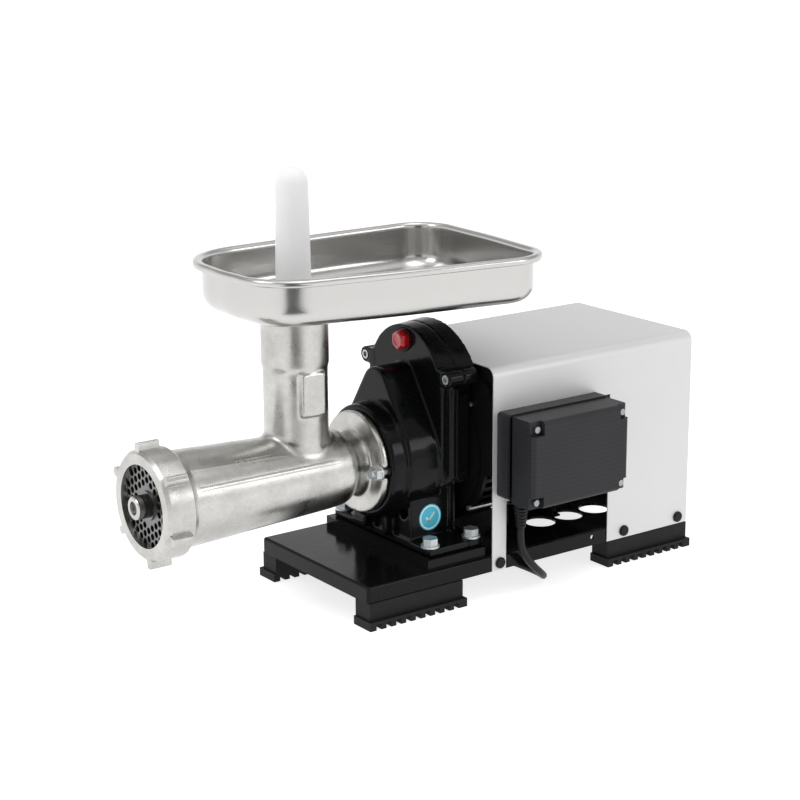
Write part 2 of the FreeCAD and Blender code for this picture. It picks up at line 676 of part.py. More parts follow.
# ------------------------------------------------------------------------ motor
def make_motor():
    core = rod("stator_blank", "X", "stator_radius", "core_front", "core_back", AUGER)
    node(cut("stator_core", core, rod("stator_hole", "X", "stator_bore", "core_front - 1",
                                      "core_back + 1", AUGER)))
    windings = []
    for side, start, end in (("front", "core_front - 16", "core_front"),
                             ("rear", "core_back", "core_back + 13")):
        ring = rod(f"winding_{side}_blank", "X", "56", start, end, AUGER)
        ring = rounded(f"winding_{side}_soft", ring, 5.0, lambda edge: True)
        hole = rod(f"winding_{side}_hole", "X", "38.5", f"{start} - 1", f"{end} + 1", AUGER)
        windings.append(cut(f"winding_{side}", ring, hole))
    node(group("stator_windings", windings))
    rotor = rod("rotor_blank", "X", "rotor_radius", "core_front", "core_back", AUGER)
    rings = [rod(f"end_ring_{tag}", "X", "31", start, end, AUGER)
             for tag, start, end in (("a", "core_front - 6", "core_front"),
                                     ("b", "core_back", "core_back + 6"))]
    node(cut("rotor_core", join("rotor_stack", rotor, *rings),
             rod("rotor_hole", "X", "shaft_radius", "core_front - 8", "core_back + 8",
                 AUGER)))
    make_shields()
    rods = []
    for row in (-1, 1):
        for side in (-1, 1):
            place = (f"{side} * rod_offset", f"auger_height + {row} * rod_offset")
            tag = f"{row}_{side}".replace("-", "m")
            stem = rod(f"tie_stem_{tag}", "X", "2.5", "-53", "shield_back + 6", place)
            nut = hexagon(f"tie_nut_{tag}", "X", "4.6", "shield_back", "shield_back + 4",
                          place)
            rods.append(join(f"tie_{tag}", stem, nut))
    node(group("tie_rods", rods))
    make_fan()
    saddle = block("bracket_foot", ("56", "74"), ("-34", "34"), ("base_top", "base_top + 2"))
    wall = block("bracket_wall", ("64", "66.4"), ("-34", "34"), ("base_top", "62"))
    clear = rod("bracket_clear", "X", "shield_radius + 0.05", "50", "80", AUGER)
    node(cut("motor_bracket", join("bracket_blank", saddle, wall), clear))


def make_shields():
    """End shields: a square vented flange at the gear case and a round one behind."""
    plate = block("shield_plate", ("case_back + 4", "case_back + 8"),
                  ("-shield_half", "shield_half"), ("112", "215"))
    plate = rounded("shield_plate_soft", plate, 12.0,
                    lambda edge: edge.BoundBox.XLength > 3.9)
    rim = rod("shield_ring", "X", "shield_rim", "case_back", "case_back + 5", AUGER)
    lugs = [rod(f"shield_lug_{side_name}", "X", "7", "case_back", "case_back + 5",
                (f"{side} * 75", "195")) for side_name, side in SIDES]
    drum = rod("shield_drum", "X", "shield_radius", "case_back + 4", "core_front + 8", AUGER)
    tools = [
        rod("shield_room", "X", "stator_radius + 0.05", "core_front", "core_front + 9",
            AUGER),
        rod("shield_hollow", "X", "58", "case_back + 6", "core_front + 1", AUGER),
        rod("shield_bore", "X", "9", "case_back - 1", "case_back + 7", AUGER),
    ]
    for side_name, side in SIDES:
        for number in range(5):
            tools.append(block(f"drum_slot_{side_name}_{number}",
                               ("case_back + 8", "core_front - 3"),
                               sorted_pair("40", "80", side),
                               (f"72 + {number} * 9", f"77 + {number} * 9")))
    tools += tie_bores("front_tie_bore", "case_back - 1", "core_front + 9")
    node(cut("motor_front_shield", join("shield_blank", plate, drum, rim, *lugs), *tools))
    rear = rod("rear_shield_blank", "X", "shield_radius", "core_back - 8", "shield_back",
               AUGER)
    tools = [
        rod("rear_shield_room", "X", "stator_radius + 0.05", "core_back - 9", "core_back",
            AUGER),
        rod("rear_shield_hollow", "X", "58", "core_back - 1", "shield_back - 5", AUGER),
        rod("rear_shield_bore", "X", "9", "shield_back - 6", "shield_back + 1", AUGER),
        rod("rear_seat_bore", "X", "16", "shield_back - 10", "shield_back - 1", AUGER),
    ]
    for number in range(6):
        angle = math.radians(60 * number)
        tools.append(rod(f"shield_vent_{number}", "X", "11", "shield_back - 6",
                         "shield_back + 1",
                         (f"{38 * math.sin(angle):.3f}",
                          f"auger_height + {38 * math.cos(angle):.3f}")))
    tools += tie_bores("rear_tie_bore", "core_back - 9", "shield_back + 1")
    hub = rod("rear_seat", "X", "20", "shield_back - 11", "shield_back - 4", AUGER)
    seat_tools = tools.pop(3)
    blank = join("rear_shield_whole", cut("rear_shield_shell", rear, *tools), hub)
    shaft_way = rod("rear_shaft_way", "X", "9", "shield_back - 12", "shield_back + 1", AUGER)
    node(cut("motor_rear_shield", blank, seat_tools, shaft_way))


def tie_bores(name, start, end):
    return [rod(f"{name}_{row}_{side}", "X", "2.6", start, end,
                (f"{side} * rod_offset", f"auger_height + {row} * rod_offset"))
            for row in (-1, 1) for side in (-1, 1)]


def make_fan():
    hub = rod("fan_hub", "X", "12", "shield_back + 17", "shield_back + 31", AUGER)
    back = rod("fan_disc", "X", "52", "shield_back + 29", "shield_back + 31", AUGER)
    blades = []
    for number in range(9):
        blade = doc.addObject("Part::Box", f"fan_blade_{number}")
        bind(blade, Length="13", Width="2", Height="42")
        turn = Rotation(Vector(1, 0, 0), 40 * number)
        blades.append(put(blade, "shield_back + 17", "0", "auger_height", turn))
    node(cut("cooling_fan", join("fan_blank", hub, back, *blades),
             rod("fan_bore", "X", "5", "shield_back + 10", "shield_back + 40", AUGER)))
    outer = rod("cowl_blank", "X", "62", "shield_back", "shield_back + 42", AUGER)
    outer = rounded("cowl_soft", outer, 5.0,
                    lambda edge: edge.BoundBox.XMin > size("shield_back") + 40)
    tools = [rod("cowl_hollow", "X", "60.4", "shield_back - 1", "shield_back + 40", AUGER)]
    for ring, count in ((20, 8), (36, 14), (50, 20)):
        for number in range(count):
            angle = 2 * math.pi * number / count
            tools.append(rod(f"cowl_hole_{ring}_{number}", "X", "3.6", "shield_back + 38",
                             "shield_back + 44",
                             (f"{ring * math.cos(angle):.3f}",
                              f"auger_height + {ring * math.sin(angle):.3f}")))
    node(cut("fan_cowl", outer, *tools))


# ------------------------------------------------------------------------ cover
def make_cover():
    """One bright sheet: two sides, top and rear wall, open at the front and below."""
    outer = block("cover_blank", ("cover_front", "cover_back"),
                  ("-cover_half", "cover_half"), ("cover_foot", "cover_top"))
    long_top = lambda edge: (edge.BoundBox.XLength > 200
                             and edge.BoundBox.ZMin > size("cover_top") - 1)
    outer = rounded("cover_bent", outer, size("cover_bend"), long_top)
    inner = block("cover_inner", ("cover_front - 1", "cover_back - cover_sheet"),
                  ("cover_sheet - cover_half", "cover_half - cover_sheet"),
                  ("cover_foot - 1", "cover_top - cover_sheet"))
    low_top = lambda edge: (edge.BoundBox.XLength > 200
                            and edge.BoundBox.ZMin > size("cover_top") - 2)
    inner = rounded("cover_inner_bent", inner, size("cover_bend") - size("cover_sheet"),
                    low_top)
    tools = [inner, block("cover_notch", ("notch_front", "notch_back"),
                          ("-cover_half - 1", "-cover_half + 3"),
                          ("cover_foot - 1", "notch_top"))]
    for number in range(8):
        tools.append(block(f"louvre_{number}", ("cover_back - 2", "cover_back + 1"),
                           ("-48", "20"), (f"80 + {number} * 12", f"85 + {number} * 12")))
    tools.append(block("switch_window", ("cover_back - 2", "cover_back + 1"),
                       ("42", "66"), ("150", "182")))
    for number, along in enumerate(COVER_SCREWS):
        tools.append(rod(f"cover_hole_{number}", "Y", "2.2", "-cover_half - 1",
                         "cover_half + 1", (along, "cap_height")))
    for number, (along, height) in enumerate(BOX_FIXINGS):
        tools.append(rod(f"box_fixing_hole_{number}", "Y", "2.2", "-cover_half - 1",
                         "-cover_half + 2", (along, height)))
    node(cut("motor_cover", outer, *tools))
    screws = []
    for number, along in enumerate(COVER_SCREWS):
        for side_name, side in SIDES:
            place = (along, "cap_height")
            stem = rod(f"cap_stem_{number}_{side_name}", "Y", "2.15",
                       *sorted_pair("base_half - 1.9", "cover_half + 1", side), place)
            cap = rod(f"cap_head_{number}_{side_name}", "Y", "5.3",
                      *sorted_pair("cover_half", "cover_half + 2.3", side), place)
            cap = rounded(f"cap_soft_{number}_{side_name}", cap, 1.2,
                          lambda edge: abs(edge.BoundBox.Center.y) > size("cover_half") + 2)
            screws.append(join(f"cap_{number}_{side_name}", stem, cap))
    node(group("cover_screws", screws))


BOX_FIXINGS = (("-43", "172"), ("-43", "101"))


# ----------------------------------------------------------------- terminal box
def make_terminal_box():
    outer = block("box_blank", ("box_front", "box_back"), ("-box_depth", "-cover_half"),
                  ("box_low", "box_high"))
    outer = rounded("box_blank_soft", outer, 4.0,
                    lambda edge: edge.BoundBox.YLength > 10 and edge.BoundBox.ZLength < 1)
    inner = block("box_inner", ("box_front + box_wall", "box_back - box_wall"),
                  ("-box_depth - 1", "-cover_half - box_wall"),
                  ("box_low + box_wall", "box_high - box_wall"))
    hole = rod("gland_hole", "Z", "5.55", "box_low - 1", "box_low + 4", GLAND)
    wire_hole = rod("wire_hole", "Y", "8", "-cover_half - 4", "-cover_half + 1",
                    ("20", "140"))
    bosses = [rod(f"lid_boss_{number}", "Y", "4.2", "-box_depth", "-cover_half - 1",
                  place) for number, place in enumerate(LID_SCREWS)]
    shell = join("box_with_bosses", cut("box_shell", outer, inner, hole, wire_hole), *bosses)
    pilot = [rod(f"lid_pilot_{number}", "Y", "1.95", "-box_depth - 1", "-cover_half - 4",
                 place) for number, place in enumerate(LID_SCREWS)]
    node(cut("terminal_box_base", shell, *pilot))
    ring = block("seal_blank", ("lid_front + 3", "lid_back - 3"),
                 ("-lid_rim", "-box_depth"), ("lid_low + 5", "lid_high - 2"))
    hole = block("seal_window", ("lid_front + 11", "lid_back - 11"),
                 ("-lid_rim - 1", "-box_depth + 1"), ("lid_low + 13", "lid_high - 10"))
    pilot = [rod(f"seal_pilot_{number}", "Y", "2.1", "-lid_rim - 1", "-box_depth + 1",
                 place) for number, place in enumerate(LID_SCREWS)]
    node(cut("terminal_box_seal", ring, hole, *pilot))
    make_lid()
    screws = []
    for number, place in enumerate(LID_SCREWS):
        stem = rod(f"lid_stem_{number}", "Y", "1.9", "-lid_depth + 6", "-cover_half - 5",
                   place)
        head = rod(f"lid_head_{number}", "Y", "3.0", "-lid_depth + 3.2", "-lid_depth + 6",
                   place)
        screws.append(join(f"lid_screw_{number}", stem, head))
    node(group("terminal_box_screws", screws))
    can = rod("capacitor_can", "X", "14", "-28", "34", ("-118", "125"))
    can = rounded("capacitor_soft", can, 2.0, lambda edge: True)
    tabs = [block(f"capacitor_tab_{number}", ("33", "40"), (f"{y} - 0.4", f"{y} + 0.4"),
                  ("122", "128")) for number, y in enumerate(("-121", "-115"))]
    node(join("run_capacitor", can, *tabs))
    strip = block("strip_blank", ("-20", "30"), ("-106", "-92"), ("146", "158"))
    ways = [rod(f"strip_way_{number}", "Z", "2.5", "145", "159",
                (f"{number} * 10 - 13", "-99")) for number in range(5)]
    node(cut("terminal_strip", strip, *ways))


GLAND = ("-27", "-96")
LID_SCREWS = [(along, height) for along in ("-38", "63.7") for height in ("99.6", "168")]


def make_lid():
    """Deep lid with sloping top and corner notches for its four screws."""
    outer = block("lid_blank", ("lid_front", "lid_back"), ("-lid_depth", "-lid_rim"),
                  ("lid_low", "lid_high"))
    outer = rounded("lid_soft", outer, 4.0,
                    lambda edge: edge.BoundBox.YMax < -size("lid_depth") + 0.1)
    inner = block("lid_inner", ("lid_front + box_wall", "lid_back - box_wall"),
                  ("-lid_depth + box_wall", "-lid_rim + 1"),
                  ("lid_low + box_wall", "lid_high - box_wall"))
    posts = [rod(f"lid_post_{number}", "Y", "8", "-lid_depth + 2", "-lid_rim", place)
             for number, place in enumerate(LID_SCREWS)]
    keep = block("lid_keep", ("lid_front", "lid_back"), ("-lid_depth", "-lid_rim"),
                 ("lid_low", "lid_high"))
    shell = join("lid_posted", cut("lid_shell", outer, inner),
                 common("lid_posts_kept", join("lid_posts", *posts), keep))
    tools = []
    for number, (along, height) in enumerate(LID_SCREWS):
        tools.append(rod(f"lid_way_{number}", "Y", "2.1", "-lid_depth - 1", "-lid_rim + 1",
                         (along, height)))
        low_x = "lid_front - 1" if along == "-38" else f"{along} - 5.5"
        high_x = f"{along} + 5.5" if along == "-38" else "lid_back + 1"
        low_z = "lid_low - 1" if height == "99.6" else f"{height} - 5.5"
        high_z = f"{height} + 5.5" if height == "99.6" else "lid_high + 1"
        tools.append(block(f"lid_notch_{number}", (low_x, high_x),
                           ("-lid_depth - 1", "-lid_depth + 6"), (low_z, high_z)))
    node(cut("terminal_box_lid", shell, *tools))


def make_switch():
    body = block("switch_blank", ("cover_back - 20", "cover_back - cover_sheet"),
                 ("43", "65"), ("151", "181"))
    bezel = block("switch_bezel", ("cover_back", "cover_back + 1.6"), ("40", "68"),
                  ("148", "184"))
    collar = block("switch_collar", ("cover_back - cover_sheet - 1", "cover_back"),
                   ("42.3", "65.7"), ("150.3", "181.7"))
    room = block("switch_room", ("cover_back - 9", "cover_back + 3"), ("46", "62"),
                 ("153.5", "178.5"))
    node(cut("switch_body", join("switch_whole", body, bezel, collar), room))
    drum = rod("rocker_drum", "Y", "11.4", "46.4", "61.6", ("cover_back - 7.0", "166"))
    window = block("rocker_window", ("cover_back - 6", "cover_back + 10"), ("46", "62"),
                   ("154", "178"))
    face = block("rocker_face", ("cover_back - 3", "cover_back + 2.2"), ("46.4", "61.6"),
                 ("155", "177"))
    node(join("switch_rocker", common("rocker_round", drum, window), face))


# ----------------------------------------------------------------- grinder body
def make_grinder_body():
    outline = (("nose_front", "0"), ("nose_front", "nose_radius"),
               ("nose_back", "nose_radius"), ("nose_back", "barrel_front_radius"),
               ("barrel_back", "barrel_back_radius"), ("barrel_back + 13", "35.6"),
               ("barrel_back + 18", "33.6"), ("barrel_back + 22", "30.5"),
               ("barrel_back + 25", "waist_radius"), ("disc_front - 4", "waist_radius"),
               ("disc_front - 1", "waist_radius + 1.2"),
               ("disc_front", "waist_radius + 3"), ("disc_front", "disc_radius"),
               ("disc_back", "disc_radius"), ("disc_back", "hub_radius"),
               ("hub_back", "hub_radius"), ("hub_back", "0"))
    barrel = turned("barrel_turning", "X", outline, z="auger_height")
    neck = rod("neck_lower", "Z", "neck_radius", "auger_height", "collar_low + 1", NECK)
    collar = rod("neck_collar", "Z", "collar_radius", "collar_low", "neck_top", NECK)
    pad = block("neck_pad", ("neck_x - pad_half", "neck_x + pad_half"),
                ("-pad_reach", "-20"), ("pad_low", "pad_high"))
    pad = rounded("neck_pad_soft", pad, 1.5,
                  lambda edge: edge.BoundBox.YMax < -size("pad_reach") + 0.1)
    shell = join("casting_blank", barrel, neck, collar, pad)
    bore = taper("barrel_bore", "X", "bore_front_radius", "bore_back_radius", "bore_front",
                 "bore_back", AUGER)
    tools = [
        bore,
        rod("plate_seat", "X", "plate_radius + 0.1", "nose_front - 1", "bore_front", AUGER),
        rod("journal_bore", "X", "journal_radius + 0.06", "bore_back - 1", "hub_back + 1",
            AUGER),
        rod("neck_bore", "Z", "neck_bore", "auger_height", "neck_top + 1", NECK),
        rod("key_hole", "Z", "2.03", "auger_height + plate_radius - 4",
            "auger_height + plate_radius + 2.4", ("nose_front + 2.5", "0")),
    ]
    for side, place in stud_places():
        tools.append(block(f"clamp_slot_{side}", ("disc_front - 1", "disc_back + 1"),
                           sorted_pair("stud_offset", "disc_radius + 3", side),
                           ("auger_height - 4.7", "auger_height + 4.7")))
        tools.append(rod(f"clamp_slot_end_{side}", "X", "4.7", "disc_front - 1",
                         "disc_back + 1", place))
    node(cut("grinder_body", shell, *tools))


NECK = ("neck_x", "0")


def stud_places():
    """Two clamp studs, level with the auger on both sides of it."""
    return [(side, (f"{side} * stud_offset", "auger_height")) for side in (-1, 1)]


def make_clamps():
    studs = []
    nuts = []
    for side, place in stud_places():
        studs.append(rod(f"stud_{side}", "X", "stud_radius", "stud_tip", "-123", place))
        washer = rod(f"clamp_washer_{side}", "X", "7.4", "disc_front - 1.4", "disc_front",
                     place)
        blank = hexagon(f"clamp_hex_{side}", "X", "7.5", "disc_front - 7",
                        "disc_front - 1.4", place)
        bore = rod(f"clamp_nut_bore_{side}", "X", "stud_radius + 0.02", "disc_front - 9",
                   "disc_front + 1", place)
        nuts.append(cut(f"clamp_nut_{side}", join(f"clamp_nut_blank_{side}", washer, blank),
                        bore))
    node(group("clamp_studs", studs))
    node(group("clamp_nuts", nuts))


# ------------------------------------------------------------------ cutting set
def make_auger():
    """Worm with a tapering flight, a pin for the plate and a hexagon to drive it."""
    core = turned("auger_core_turning", "X", (
        ("plate_front - pin_reach", "0"), ("plate_front - pin_reach", "pin_radius - 1"),
        ("plate_front + 1 - pin_reach", "pin_radius"), ("knife_back", "pin_radius"),
        ("knife_back", "auger_core"), ("bore_back - 0.4", "17"),
        ("bore_back - 0.4", "journal_radius"),
        ("-127", "journal_radius"), ("-127", "0")), z="auger_height")
    drive = hexagon("auger_hexagon", "X", "hex_flat / 1.7320508", "-127.5", "-110", AUGER)
    worm = doc.addObject("Part::Feature", "auger_flight")
    worm.Shape = flight_shape()
    square = block("auger_square", ("knife_front", "knife_back + 1"),
                   ("-square_side / 2", "square_side / 2"),
                   ("auger_height - square_side / 2", "auger_height + square_side / 2"))
    hollow = taper("auger_centre", "X", "6", "5", "plate_front - pin_reach - 0.01",
                   "plate_front + 6 - pin_reach", AUGER)
    node(cut("auger", join("auger_blank", core, square, drive, worm), hollow))


def flight_shape():
    """A conical flight: it starts at the back of the bore and widens to the front."""
    front, back = size("knife_back") + 2.5, size("bore_back") - 4.5
    slope = (size("bore_front_radius") - size("bore_back_radius")) / (
        size("bore_back") - size("bore_front"))
    tip = size("bore_back_radius") - size("auger_gap") - 0.5
    helix = Part.makeHelix(size("auger_pitch"), back - front, tip,
                           math.degrees(math.atan(slope)), False)
    foot = 7.0
    corners = [Vector(tip, 0, -1.7), Vector(tip, 0, 1.7), Vector(foot, 0, 3.4),
               Vector(foot, 0, -3.4)]
    profile = Part.makePolygon(corners + corners[:1])
    flight = Part.Wire(helix.Edges).makePipeShell([profile], True, True)
    flight.rotate(Vector(), Vector(0, 1, 0), -90)
    flight.translate(Vector(back, 0, size("auger_height")))
    return flight


def make_cutters():
    hub = rod("knife_hub", "X", "18", "knife_front", "knife_back", AUGER)
    arms = []
    for number in range(4):
        arm = doc.addObject("Part::Box", f"knife_arm_{number}")
        bind(arm, Length="knife_back - knife_front", Width="10", Height="knife_reach")
        turn = Rotation(Vector(1, 0, 0), 90 * number)
        shift = turn.multVec(Vector(0, -3, 0))
        arms.append(put(arm, "knife_front", f"{shift.y:.4f}",
                        f"auger_height + {shift.z:.4f}", turn))
    hole = block("knife_hole", ("knife_front - 1", "knife_back + 1"),
                 ("-square_side / 2 - 0.06", "square_side / 2 + 0.06"),
                 ("auger_height - square_side / 2 - 0.06",
                  "auger_height + square_side / 2 + 0.06"))
    node(cut("knife", join("knife_blank", hub, *arms), hole))
    make_plate()
    node(rod("plate_key", "Z", "2", "auger_height + plate_radius - 3.4",
             "auger_height + plate_radius + 2.2", ("nose_front + 2.5", "0")))
    make_ring_nut()


def make_plate():
    """Steel plate with a field of round holes about a plain hub."""
    centre = size("auger_height")
    radius = size("plate_radius")
    thick = size("plate_back") - size("plate_front")
    along = Vector(1, 0, 0)
    disc = Part.makeCylinder(radius, thick, Vector(size("plate_front"), 0, centre), along)
    hub = Part.makeCylinder(size("plate_hub"), 1.6,
                            Vector(size("plate_front") - 1.6, 0, centre), along)
    pitch = size("plate_pitch")
    holes = []
    for row in range(-7, 8):
        for column in range(-7, 8):
            across = row * pitch * math.sqrt(3) / 2
            up = (column + 0.5 * (row % 2)) * pitch
            reach = math.hypot(across, up)
            if size("plate_hub") + 2.9 < reach < radius - 5.4:
                holes.append(Part.makeCylinder(
                    size("plate_hole"), thick + 2,
                    Vector(size("plate_front") - 1, across, centre + up), along))
    bore = Part.makeCylinder(size("pin_radius") + 0.06, thick + 6, Vector(size("plate_front") - 3, 0, centre),
                             along)
    key = Part.makeBox(6, 4.4, 6, Vector(size("nose_front") - 0.5, -2.2,
                                         centre + radius - 3.6))
    plate = disc.fuse(hub).cut(Part.makeCompound(holes)).cut(bore).cut(key)
    solid_node("perforated_plate", plate)


def make_ring_nut():
    blank = turned("ring_turning", "X", (
        ("ring_front", "ring_aperture"), ("ring_front", "ring_radius - 3"),
        ("ring_front + 3", "ring_radius"), ("ring_back - 1.5", "ring_radius"),
        ("ring_back", "ring_radius - 1.5"), ("ring_back", "nose_radius + 0.09"),
        ("plate_front - 0.3", "nose_radius + 0.09"),
        ("plate_front - 0.3", "ring_aperture")), z="auger_height")
    lugs = []
    for number in range(6):
        lug = doc.addObject("Part::Box", f"lug_{number}")
        bind(lug, Length="ring_back - ring_front - 7", Width="lug_width",
             Height="lug_reach - ring_radius + 2")
        turn = Rotation(Vector(1, 0, 0), 60 * number - 8)
        shift = turn.multVec(Vector(0, -size("lug_width") / 2, size("ring_radius") - 2))
        put(lug, "ring_front + 1.5", f"{shift.y:.4f}", f"auger_height + {shift.z:.4f}", turn)
        lugs.append(rounded(f"lug_soft_{number}", lug, 2.4,
                            lambda edge: edge.BoundBox.XLength > 15
                            and lug_top(edge, size("lug_reach"))))
    node(join("ring_nut", blank, *lugs))


def lug_top(edge, reach):
    middle = edge.BoundBox.Center
    return math.hypot(middle.y, middle.z - size("auger_height")) > reach - 0.6


# -------------------------------------------------------------- tray and pusher
def rounded_polygon(corners, radii, height):
    """A closed flat wire with an arc at each corner."""
    count = len(corners)
    cuts = []
    for index, radius in enumerate(radii):
        here = Vector(*corners[index], height)
        before = (Vector(*corners[index - 1], height) - here).normalize()
        after = (Vector(*corners[(index + 1) % count], height) - here).normalize()
        half = before.getAngle(after) / 2
        reach = radius / math.tan(half)
        middle = here + (before + after).normalize() * (radius / math.sin(half) - radius)
        cuts.append((here + before * reach, middle, here + after * reach))
    edges = []
    for index, (start, middle, end) in enumerate(cuts):
        edges.append(Part.Arc(start, middle, end).toShape())
        edges.append(Part.LineSegment(end, cuts[(index + 1) % count][0]).toShape())
    return Part.Wire(edges)


TRAY_CORNERS = ((-80, 91), (-70.3, -79.8), (216, -106), (220, 119))
TRAY_RADII = (70, 55, 44, 40)


def tray_wire(inset, height):
    """Outline of the tray, measured from the neck, moved inwards by the inset."""
    centre = (70, 6)
    corners = [(x - math.copysign(inset, x - centre[0]), y - math.copysign(inset, y))
               for x, y in TRAY_CORNERS]
    return rounded_polygon(corners, [radius - inset for radius in TRAY_RADII], height)


def tray_block(inset, low, high, bend):
    solid = Part.Face(tray_wire(inset, low)).extrude(Vector(0, 0, high - low))
    if bend:
        bottom = [edge for edge in solid.Edges if edge.BoundBox.ZMax < low + 0.01]
        solid = solid.makeFillet(bend, bottom)
    return solid


def make_tray():
    """Pressed sheet tray with a rolled rim and a spigot that sits in the neck."""
    low, top, thick = size("tray_low"), size("tray_top"), size("tray_sheet")
    over, bend = size("rim_overhang"), size("tray_bend")
    pan = tray_block(over, low, top, bend)
    hollow = tray_block(over + thick, low + thick, top + 1, bend - thick)
    rim = tray_block(0, top - size("rim_drop"), top, 0)
    under = tray_block(thick, top - size("rim_drop") - 1, top - thick, 0)
    rim = rim.cut(under.cut(tray_block(over, low, top, 0)))
    spigot = Part.makeCylinder(size("spigot_radius"), low + thick - size("spigot_low"),
                               Vector(0, 0, size("spigot_low")))
    tray = pan.fuse([rim, spigot]).cut(hollow)
    way = Part.makeCylinder(size("spigot_radius") - thick, 60,
                            Vector(0, 0, size("spigot_low") - 1))
    tray = tray.cut(way).removeSplitter()
    tray = solid_node("feed_tray", tray)
    tray.Placement = Placement(Vector(size("neck_x"), 0, 0),
                               Rotation(Vector(0, 0, 1), size("tray_swivel")))


def make_pusher():
    """Pestle: a slim tapering grip with a domed end on a wider piston."""
    dome = [(f"pusher_top - {rise:.3f}", f"{reach:.3f}") for rise, reach in dome_points()]
    node(turned("pusher", "Z", (
        ("piston_low", "0"), ("piston_low", "piston_radius - 2"),
        ("piston_low + 2", "piston_radius"), ("piston_high - 3", "piston_radius"),
        ("piston_high", "piston_radius - 3"), ("piston_high + 3", "pusher_base_radius"),
        *dome), x="neck_x"))


def dome_points(steps=8):
    """Quarter of a flattened circle at the top of the grip, as (drop, radius)."""
    radius = size("pusher_tip_radius")
    points = []
    for step in range(steps + 1):
        angle = math.pi / 2 * step / steps
        points.append((radius * (1 - math.sin(angle)), radius * math.cos(angle)))
    return points


# ------------------------------------------------------------------- mains lead
CORD_ROUTE = (
    (-27, -96, 66), (-28, -96.5, 52), (-24, -97, 38.5), (-14, -98, 26), (-1, -95, 14.5),
    (11, -86, 6), (18, -70, 3.5), (18, -46, 3.5), (14.5, -10, 3.5), (18, 32, 3.5),
    (14.5, 74, 3.5), (10, 112, 3.5), (9.5, 142, 3.5),
)


def cord_path(route):
    """Straight runs joined by arcs that are tangent to them."""
    points = [Vector(*point) for point in route]
    edges = []
    radii = []
    start = points[0]
    for before, here, after in zip(points, points[1:], points[2:]):
        back, ahead = before - here, after - here
        shorter = min(back.Length, ahead.Length)
        turn = math.pi - back.getAngle(ahead)
        radius = 0.45 * shorter / math.tan(turn / 2)
        back.normalize()
        ahead.normalize()
        first = here + back * 0.45 * shorter
        last = here + ahead * 0.45 * shorter
        middle = here + (back + ahead).normalize() * (radius / math.cos(turn / 2) - radius)
        edges.append(Part.LineSegment(start, first).toShape())
        edges.append(Part.Arc(first, middle, last).toShape())
        radii.append(round(radius, 1))
        start = last
    edges.append(Part.LineSegment(start, points[-1]).toShape())
    return Part.Wire(edges), radii


def cord_tube(label, route):
    wire, radii = cord_path(route)
    radius = size("cord_radius")
    start = Vector(*route[0])
    heading = Vector(*route[1]) - start
    circle = Part.Wire(Part.makeCircle(radius, start, heading))
    tube = wire.makePipeShell([circle], True, False)
    expected = math.pi * radius ** 2 * wire.Length
    print(label, "bend radii", radii, "length", round(wire.Length, 1),
          "volume", round(tube.Volume), "of", round(expected))
    solid_node(label, tube)


def make_cord():
    stem = rod("gland_stem", "Z", "5.5", "box_low - 4", "box_low + 5", GLAND)
    nut = hexagon("gland_nut", "Z", "8.4", "box_low - 9", "box_low", GLAND)
    tail = taper("gland_tail", "Z", "4.3", "6.6", "66", "box_low - 9", GLAND)
    node(join("cable_gland", stem, nut, tail))
    cord_tube("power_cord", CORD_ROUTE)
    coil_place = ("coil_x", "coil_y")
    ring = rod("coil_blank", "Z", "coil_outer", "0", "coil_height", coil_place)
    ring = rounded("coil_soft", ring, 3.0, lambda edge: edge.BoundBox.ZLength < 1)
    way = rod("coil_way", "Z", "coil_inner", "-1", "coil_height + 1", coil_place)
    entry = block("coil_entry", ("5", "14"), ("118", "142"), ("-1", "coil_height + 1"))
    leave = block("coil_leave", ("62", "80"), ("188", "200"), ("-1", "coil_height + 1"))
    node(cut("cord_coil", ring, way, entry, leave))
    strap = block("tie_blank", ("coil_x + coil_inner - 1.4", "coil_x + coil_outer + 1.4"),
                  ("coil_y - 3", "coil_y + 3"), ("0", "coil_height + 1.4"))
    under = block("tie_inside", ("coil_x + coil_inner - 0.2", "coil_x + coil_outer + 0.02"),
                  ("coil_y - 4", "coil_y + 4"), ("-1", "coil_height + 0.02"))
    node(cut("cord_tie", strap, under))
    make_plug()


PLUG_TAIL = ((62, 195.5, 10), (77, 196, 8.5), (92, 194.5, 9.5), (106, 193.5, 13.5))


def make_plug():
    """Round two-pin plug lying beside the coil, with its moulded neck."""
    cord_tube("cord_tail", PLUG_TAIL)
    axis_line = ("193", "17.5")
    neck = taper("plug_neck", "X", "4.4", "8", "105", "126", axis_line)
    shell = rod("plug_shell", "X", "17.5", "126", "150", axis_line)
    shell = rounded("plug_shell_soft", shell, 4.0, lambda edge: True)
    pins = [rod(f"plug_pin_{side_name}", "X", "2.4", "149", "169",
                (f"193 + {side} * 9.5", "17.5")) for side_name, side in SIDES]
    node(join("power_plug", neck, shell, *pins))


# ------------------------------------------------------------------------ build
def write_parts():
    """Stop on any failed feature, then write each part to its own file."""
    doc.recompute()
    for thing in doc.Objects:
        if "Invalid" in thing.State or "Error" in thing.State:
            raise SystemExit(f"{thing.Name} failed: {thing.State}")
    labels = [part.Label for part in nodes]
    assert len(set(labels)) == len(labels) <= 60, "labels repeat or are too many"
    for part in nodes:
        if part.Shape.isNull() or not part.Shape.isValid() or part.Shape.Volume <= 0:
            raise SystemExit(f"{part.Label} has no valid shape")
    os.makedirs("parts", exist_ok=True)
    for part in nodes:
        part.Shape.exportStep(f"parts/{part.Label}.step")
    print(len(nodes), "parts written")


make_base()
make_feet()
make_riser()
make_foot_bolts()
make_front_half()
make_rear_half()
make_case_screws()
make_filler_plug()
make_sticker()
make_gears()
make_output_shaft()
make_bearings()
make_motor()
make_cover()
make_terminal_box()
make_switch()
make_grinder_body()
make_clamps()
make_auger()
make_cutters()
make_tray()
make_pusher()
make_cord()
write_parts()
